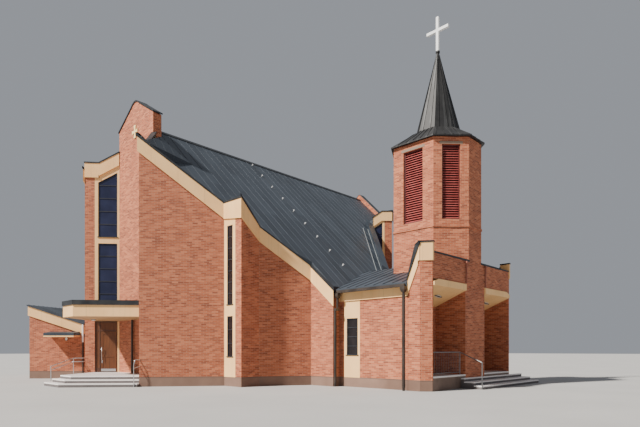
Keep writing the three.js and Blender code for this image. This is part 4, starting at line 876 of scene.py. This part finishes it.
# Rails: dull galvanised tube at the belfry's steps and drawn stainless tube at the porch, on round
# flanges. At the porch's right end a short hooked rail, bent from one tube, is let into the pier at
# the wing wall's tip and tied back lower down.
FLANGE, FLANGE_THICK = 0.05, 0.012
FLANGES = ((-3.62, -14.24, 0.6), (-1.34, -14.24, 0.6), (-1.38, -15.3, 0.0),
           (-12.69, 1.95, 0.0), (-11.19, 3.06, 0.0))
HOOK = ((-10.57, -3.07, 1.24), (-10.82, -3.10, 1.25), (-10.89, -3.12, 0.98), (-10.88, -3.12, 0.0))
HOOK_BEND = 0.09
TIE = ((-10.57, -3.07, 0.94), (-10.88, -3.12, 0.86))

dull_steel = coat("dull_galvanised_steel", dark=(0.17, 0.175, 0.18), light=(0.27, 0.275, 0.28),
                  scales=(0.05, 0.2, 0.01), rough=0.4, uneven=0.2, relief=0.0003, metallic=0.7)
dress(dull_steel, "side_railing", "flight_rail")
dress(steel, "porch_handrail")

bm = bmesh.new()
for foot in FLANGES:
    tube(bm, foot, Vector(foot) + Vector((0, 0, FLANGE_THICK)), FLANGE, 20)
piece("rail_flanges", bm, steel)


def bent(points, turn, steps=6):
    path = [Vector(points[0])]
    for before, corner, after in zip(points, points[1:], points[2:]):
        before, corner, after = Vector(before), Vector(corner), Vector(after)
        start = corner + (before - corner).normalized() * turn
        end = corner + (after - corner).normalized() * turn
        for i in range(steps + 1):
            t = i / steps
            path.append(start * (1 - t) ** 2 + corner * (2 * t * (1 - t)) + end * t ** 2)
    return path + [Vector(points[-1])]


def drawn_tube(bm, path, radius, sides=14):
    rings = []
    for i, spot in enumerate(path):
        ahead = path[min(i + 1, len(path) - 1)] - path[max(i - 1, 0)]
        ring = bmesh.ops.create_circle(bm, segments=sides, radius=radius, matrix=turned(spot, ahead))
        rings.append(list(dict.fromkeys(edge for vert in ring["verts"] for edge in vert.link_edges)))
    for ring, following in zip(rings, rings[1:]):
        bmesh.ops.bridge_loops(bm, edges=ring + following)
    for ring in (rings[0], rings[-1]):
        bmesh.ops.edgeloop_fill(bm, edges=ring)


bm = bmesh.new()
drawn_tube(bm, bent(HOOK, HOOK_BEND), 0.019)
drawn_tube(bm, [Vector(end) for end in TIE], 0.014)
bmesh.ops.recalc_face_normals(bm, faces=bm.faces)
piece("porch_rail_right", bm, steel)


# Gutters and downpipes: brown painted sheet, a box gutter under each eave of the wing roof with a
# hopper over every pipe, and straps at the wall. Two thin russet pipes run down the belfry's front
# wall and a brown one stands in the porch.
GUTTER_AT, GUTTER_LOW = 4.197, 4.2
HOPPERS = (-9.565, -13.215)
NAVE_PIPE = (4.292, -9.505, 3.42)
FACADE_PIPE = (GUTTER_AT, -13.215, 4.0)
PIPE = 0.068
OUTLET = 0.055
PIPE_FOOT = 0.12
STRAPS = (0.25, 1.5, 2.75)
RUSSET_PIPE = (0.94, -14.36)
RUSSET_RISE = (4.66, 5.60)
RUSSET = 0.032
PORCH_PIPE = (-9.34, 0.17)
PORCH_RISE = (0.48, 3.26)

pipe_paint = coat("brown_pipe_paint", dark=(0.026, 0.019, 0.016), light=(0.060, 0.046, 0.038),
                  scales=(0.05, 0.5, 0.01), rough=0.35, uneven=0.2, relief=0.0005, metallic=0.2)
russet_paint = coat("russet_pipe_paint", dark=(0.24, 0.075, 0.048), light=(0.34, 0.115, 0.072),
                    scales=(0.05, 0.4, 0.01), rough=0.45, relief=0.0005)
dress(pipe_paint, "link_gutter_front", "link_gutter_rear")


def hopper(bm, x, y, z, wide=0.22, deep=0.22, tall=0.24):
    quarter = Matrix.Rotation(math.pi / 4, 4, "Z")
    bmesh.ops.create_cone(bm, cap_ends=True, segments=4, radius1=0.1, radius2=0.155, depth=tall * 0.45,
                          matrix=Matrix.Translation((x, y, z - tall * 0.225)) @ quarter)
    bar(bm, Matrix.Identity(4), (x, y, z + tall * 0.27), (wide, deep, tall * 0.54))


def upright(bm, x, y, low, high, radius, sides=18):
    tube(bm, (x, y, low), (x, y, high), radius, sides)


def straps(bm, x, y, heights, radius):
    for z in heights:
        upright(bm, x, y, z - 0.02, z + 0.02, radius + 0.008, 14)


for side, name in ((-1, "front"), (1, "rear")):
    fittings = bmesh.new()
    pipes = bmesh.new()
    for y in HOPPERS:
        hopper(fittings, side * GUTTER_AT, y, GUTTER_LOW)
        straps(fittings, side * GUTTER_AT, y, (GUTTER_LOW - 0.3,), OUTLET)
    for (x, y, top), heights in ((NAVE_PIPE, (*STRAPS, 3.4)), (FACADE_PIPE, STRAPS)):
        straps(fittings, side * x, y, heights, PIPE)
        upright(pipes, side * x, y, PIPE_FOOT, top, PIPE)
    piece("pipe_fittings_" + name, fittings, pipe_paint)
    piece("downpipes_" + name, pipes, pipe_paint)

bm = bmesh.new()
for side in (-1, 1):
    x, y = side * RUSSET_PIPE[0], RUSSET_PIPE[1]
    upright(bm, x, y, *RUSSET_RISE, RUSSET, 14)
    straps(bm, x, y, (4.9, 5.35), RUSSET)
    bar(bm, Matrix.Identity(4), (x, y, RUSSET_RISE[1]), (0.12, 0.10, 0.09))
piece("facade_pipes", bm, russet_paint)

bm = bmesh.new()
upright(bm, *PORCH_PIPE, *PORCH_RISE, OUTLET, 16)
straps(bm, *PORCH_PIPE, (0.6, 1.9, 3.1), OUTLET)
piece("porch_pipe", bm, pipe_paint)


# Lamps: opal glass domes in dark cast rings, oval on the soffits of the two side entrances and
# round under the porch canopy.
RECESS_LAMP = (2.3, -13.65, 4.066)
PORCH_LAMP = (-10.9, 1.2, 3.25)
SOFFIT_SLOPE = (0, 0.4, -1)
DOWN = (0, 0, -1)

opal = coat("opal_lamp_glass", dark=(0.66, 0.66, 0.62), light=(0.80, 0.80, 0.77),
            scales=(0.05, 0.08, 0.01), rough=0.25, relief=0.0003, raised_by="Clouds")


def lamp(name, centre, up, radius, long=1.0):
    spot = turned(centre, up) @ Matrix.Diagonal((1, long, 1, 1))
    dome = bmesh.new()
    bmesh.ops.create_uvsphere(dome, u_segments=24, v_segments=12, radius=radius,
                              matrix=spot @ Matrix.Diagonal((1, 1, 0.45, 1)))
    piece(name + "_dome", dome, opal, smooth=True)
    ring = bmesh.new()
    bmesh.ops.create_cone(ring, cap_ends=True, segments=28, radius1=radius * 1.12,
                          radius2=radius * 1.05, depth=radius * 0.25, matrix=spot)
    piece(name + "_ring", ring, graphite)


for side, name in ((-1, "front"), (1, "rear")):
    x, y, z = RECESS_LAMP
    lamp("recess_lamp_" + name, (x * side, y, z), SOFFIT_SLOPE, 0.16, long=1.5)
lamp("porch_lamp", PORCH_LAMP, DOWN, 0.12)


# Annex: a low brick room under a lean roof of the same sheet, with a gutter along its right eave,
# a brown downpipe whose upper third is in a white sleeve, and a thin canopy with a cream soffit
# and an oval lamp.
CORNER = Vector((-11.83, 8.0, 0))
RUN = Vector((0.687, -0.7266, 0))
BACK = Vector((0.7266, 0.687, 0))
EAVE = 3.29
GUTTER_ENDS = ((-0.05, 3.21), (4.25, 3.33))
ANNEX_PIPE = (3.2, -0.07)
SLEEVE_FOOT = 2.15
SEAM_STEP = 0.5


def annex(across, behind, z):
    return CORNER + RUN * across + BACK * behind + Vector((0, 0, z))


places = [annex(0, 0.1 + SEAM_STEP * i, 0).dot(BACK) for i in range(9)]
piece("annex_roof_seams", seams("annex_roof", BACK, places), roof_sheet)
bm = bmesh.new()
tube(bm, *[annex(EAVE, *end) for end in GUTTER_ENDS], 0.06, 14)
piece("annex_gutter", bm, pipe_paint)
bm = bmesh.new()
tube(bm, annex(*ANNEX_PIPE, SLEEVE_FOOT), annex(*ANNEX_PIPE, 3.2), 0.055, 14)
piece("annex_pipe_sleeve", bm, white_paint)
bm = bmesh.new()
tube(bm, annex(*ANNEX_PIPE, 0.0), annex(*ANNEX_PIPE, SLEEVE_FOOT + 0.01), 0.045, 14)
piece("annex_pipe", bm, pipe_paint)
lamp("annex_lamp", annex(2.2, -0.02, 2.36), -BACK, 0.075, long=1.4)
bm = welded("annex_canopy")
keep(bm, lambda face: face.normal.z < -0.5)
bmesh.ops.inset_region(bm, faces=bm.faces[:], thickness=0.03, use_even_offset=True, use_boundary=True)
thickened(bm, (0, 0, -0.08))
piece("annex_canopy_soffit", bm, cream)


# Studio: a wide pale floor, a warm key light from the left and front as in the photograph, a pale
# sky around, and the camera at eye height with its lens shifted up.
FLOOR_REACH = 220
SKY = (0.86, 0.91, 1.0, 1)
SKY_STRENGTH = 0.36
KEY_TOWARDS = (0.665, -0.215, -0.72)
EYE = (-21.81, -25.11, 1.70)
LOOKING = (0.7266, 0.687, 0)

pale_floor, tree, shader = finish("pale_floor")
blotches = put(tree, "TexNoise", ("Vector", object_place(tree)), ("Scale", 0.3), ("Detail", 3.0))
tint = shades(tree, blotches.outputs[0], (0.3, (0.34, 0.335, 0.33)), (0.7, (0.37, 0.365, 0.36)))
feed(tree, shader, tint, 0.9)
ground = bmesh.new()
bmesh.ops.create_grid(ground, x_segments=4, y_segments=4, size=FLOOR_REACH)
mesh = bpy.data.meshes.new("floor")
ground.to_mesh(mesh)
ground.free()
mesh.materials.append(pale_floor)
floor = bpy.data.objects.new("floor", mesh)
show(floor)

world = bpy.data.worlds.new("studio")
world.use_nodes = True
background = world.node_tree.nodes["Background"]
wire(world.node_tree, background, [("Color", SKY), ("Strength", SKY_STRENGTH)])
bpy.context.scene.world = world


def aimed(along):
    return Vector(along).to_track_quat("-Z", "Y").to_euler()


light = bpy.data.lights.new("key", "SUN")
light.energy = 9.6
light.angle = 0.05
light.color = (1.0, 0.95, 0.87)
key = bpy.data.objects.new("key", light)
key.rotation_euler = aimed(KEY_TOWARDS)
show(key)

shot = bpy.data.cameras.new("camera")
shot.sensor_width = 36
shot.lens = 28.5
shot.shift_y = 0.213
shot.clip_end = 1000
camera = bpy.data.objects.new("camera", shot)
camera.location = EYE
camera.rotation_euler = aimed(LOOKING)
show(camera)
bpy.context.scene.camera = camera
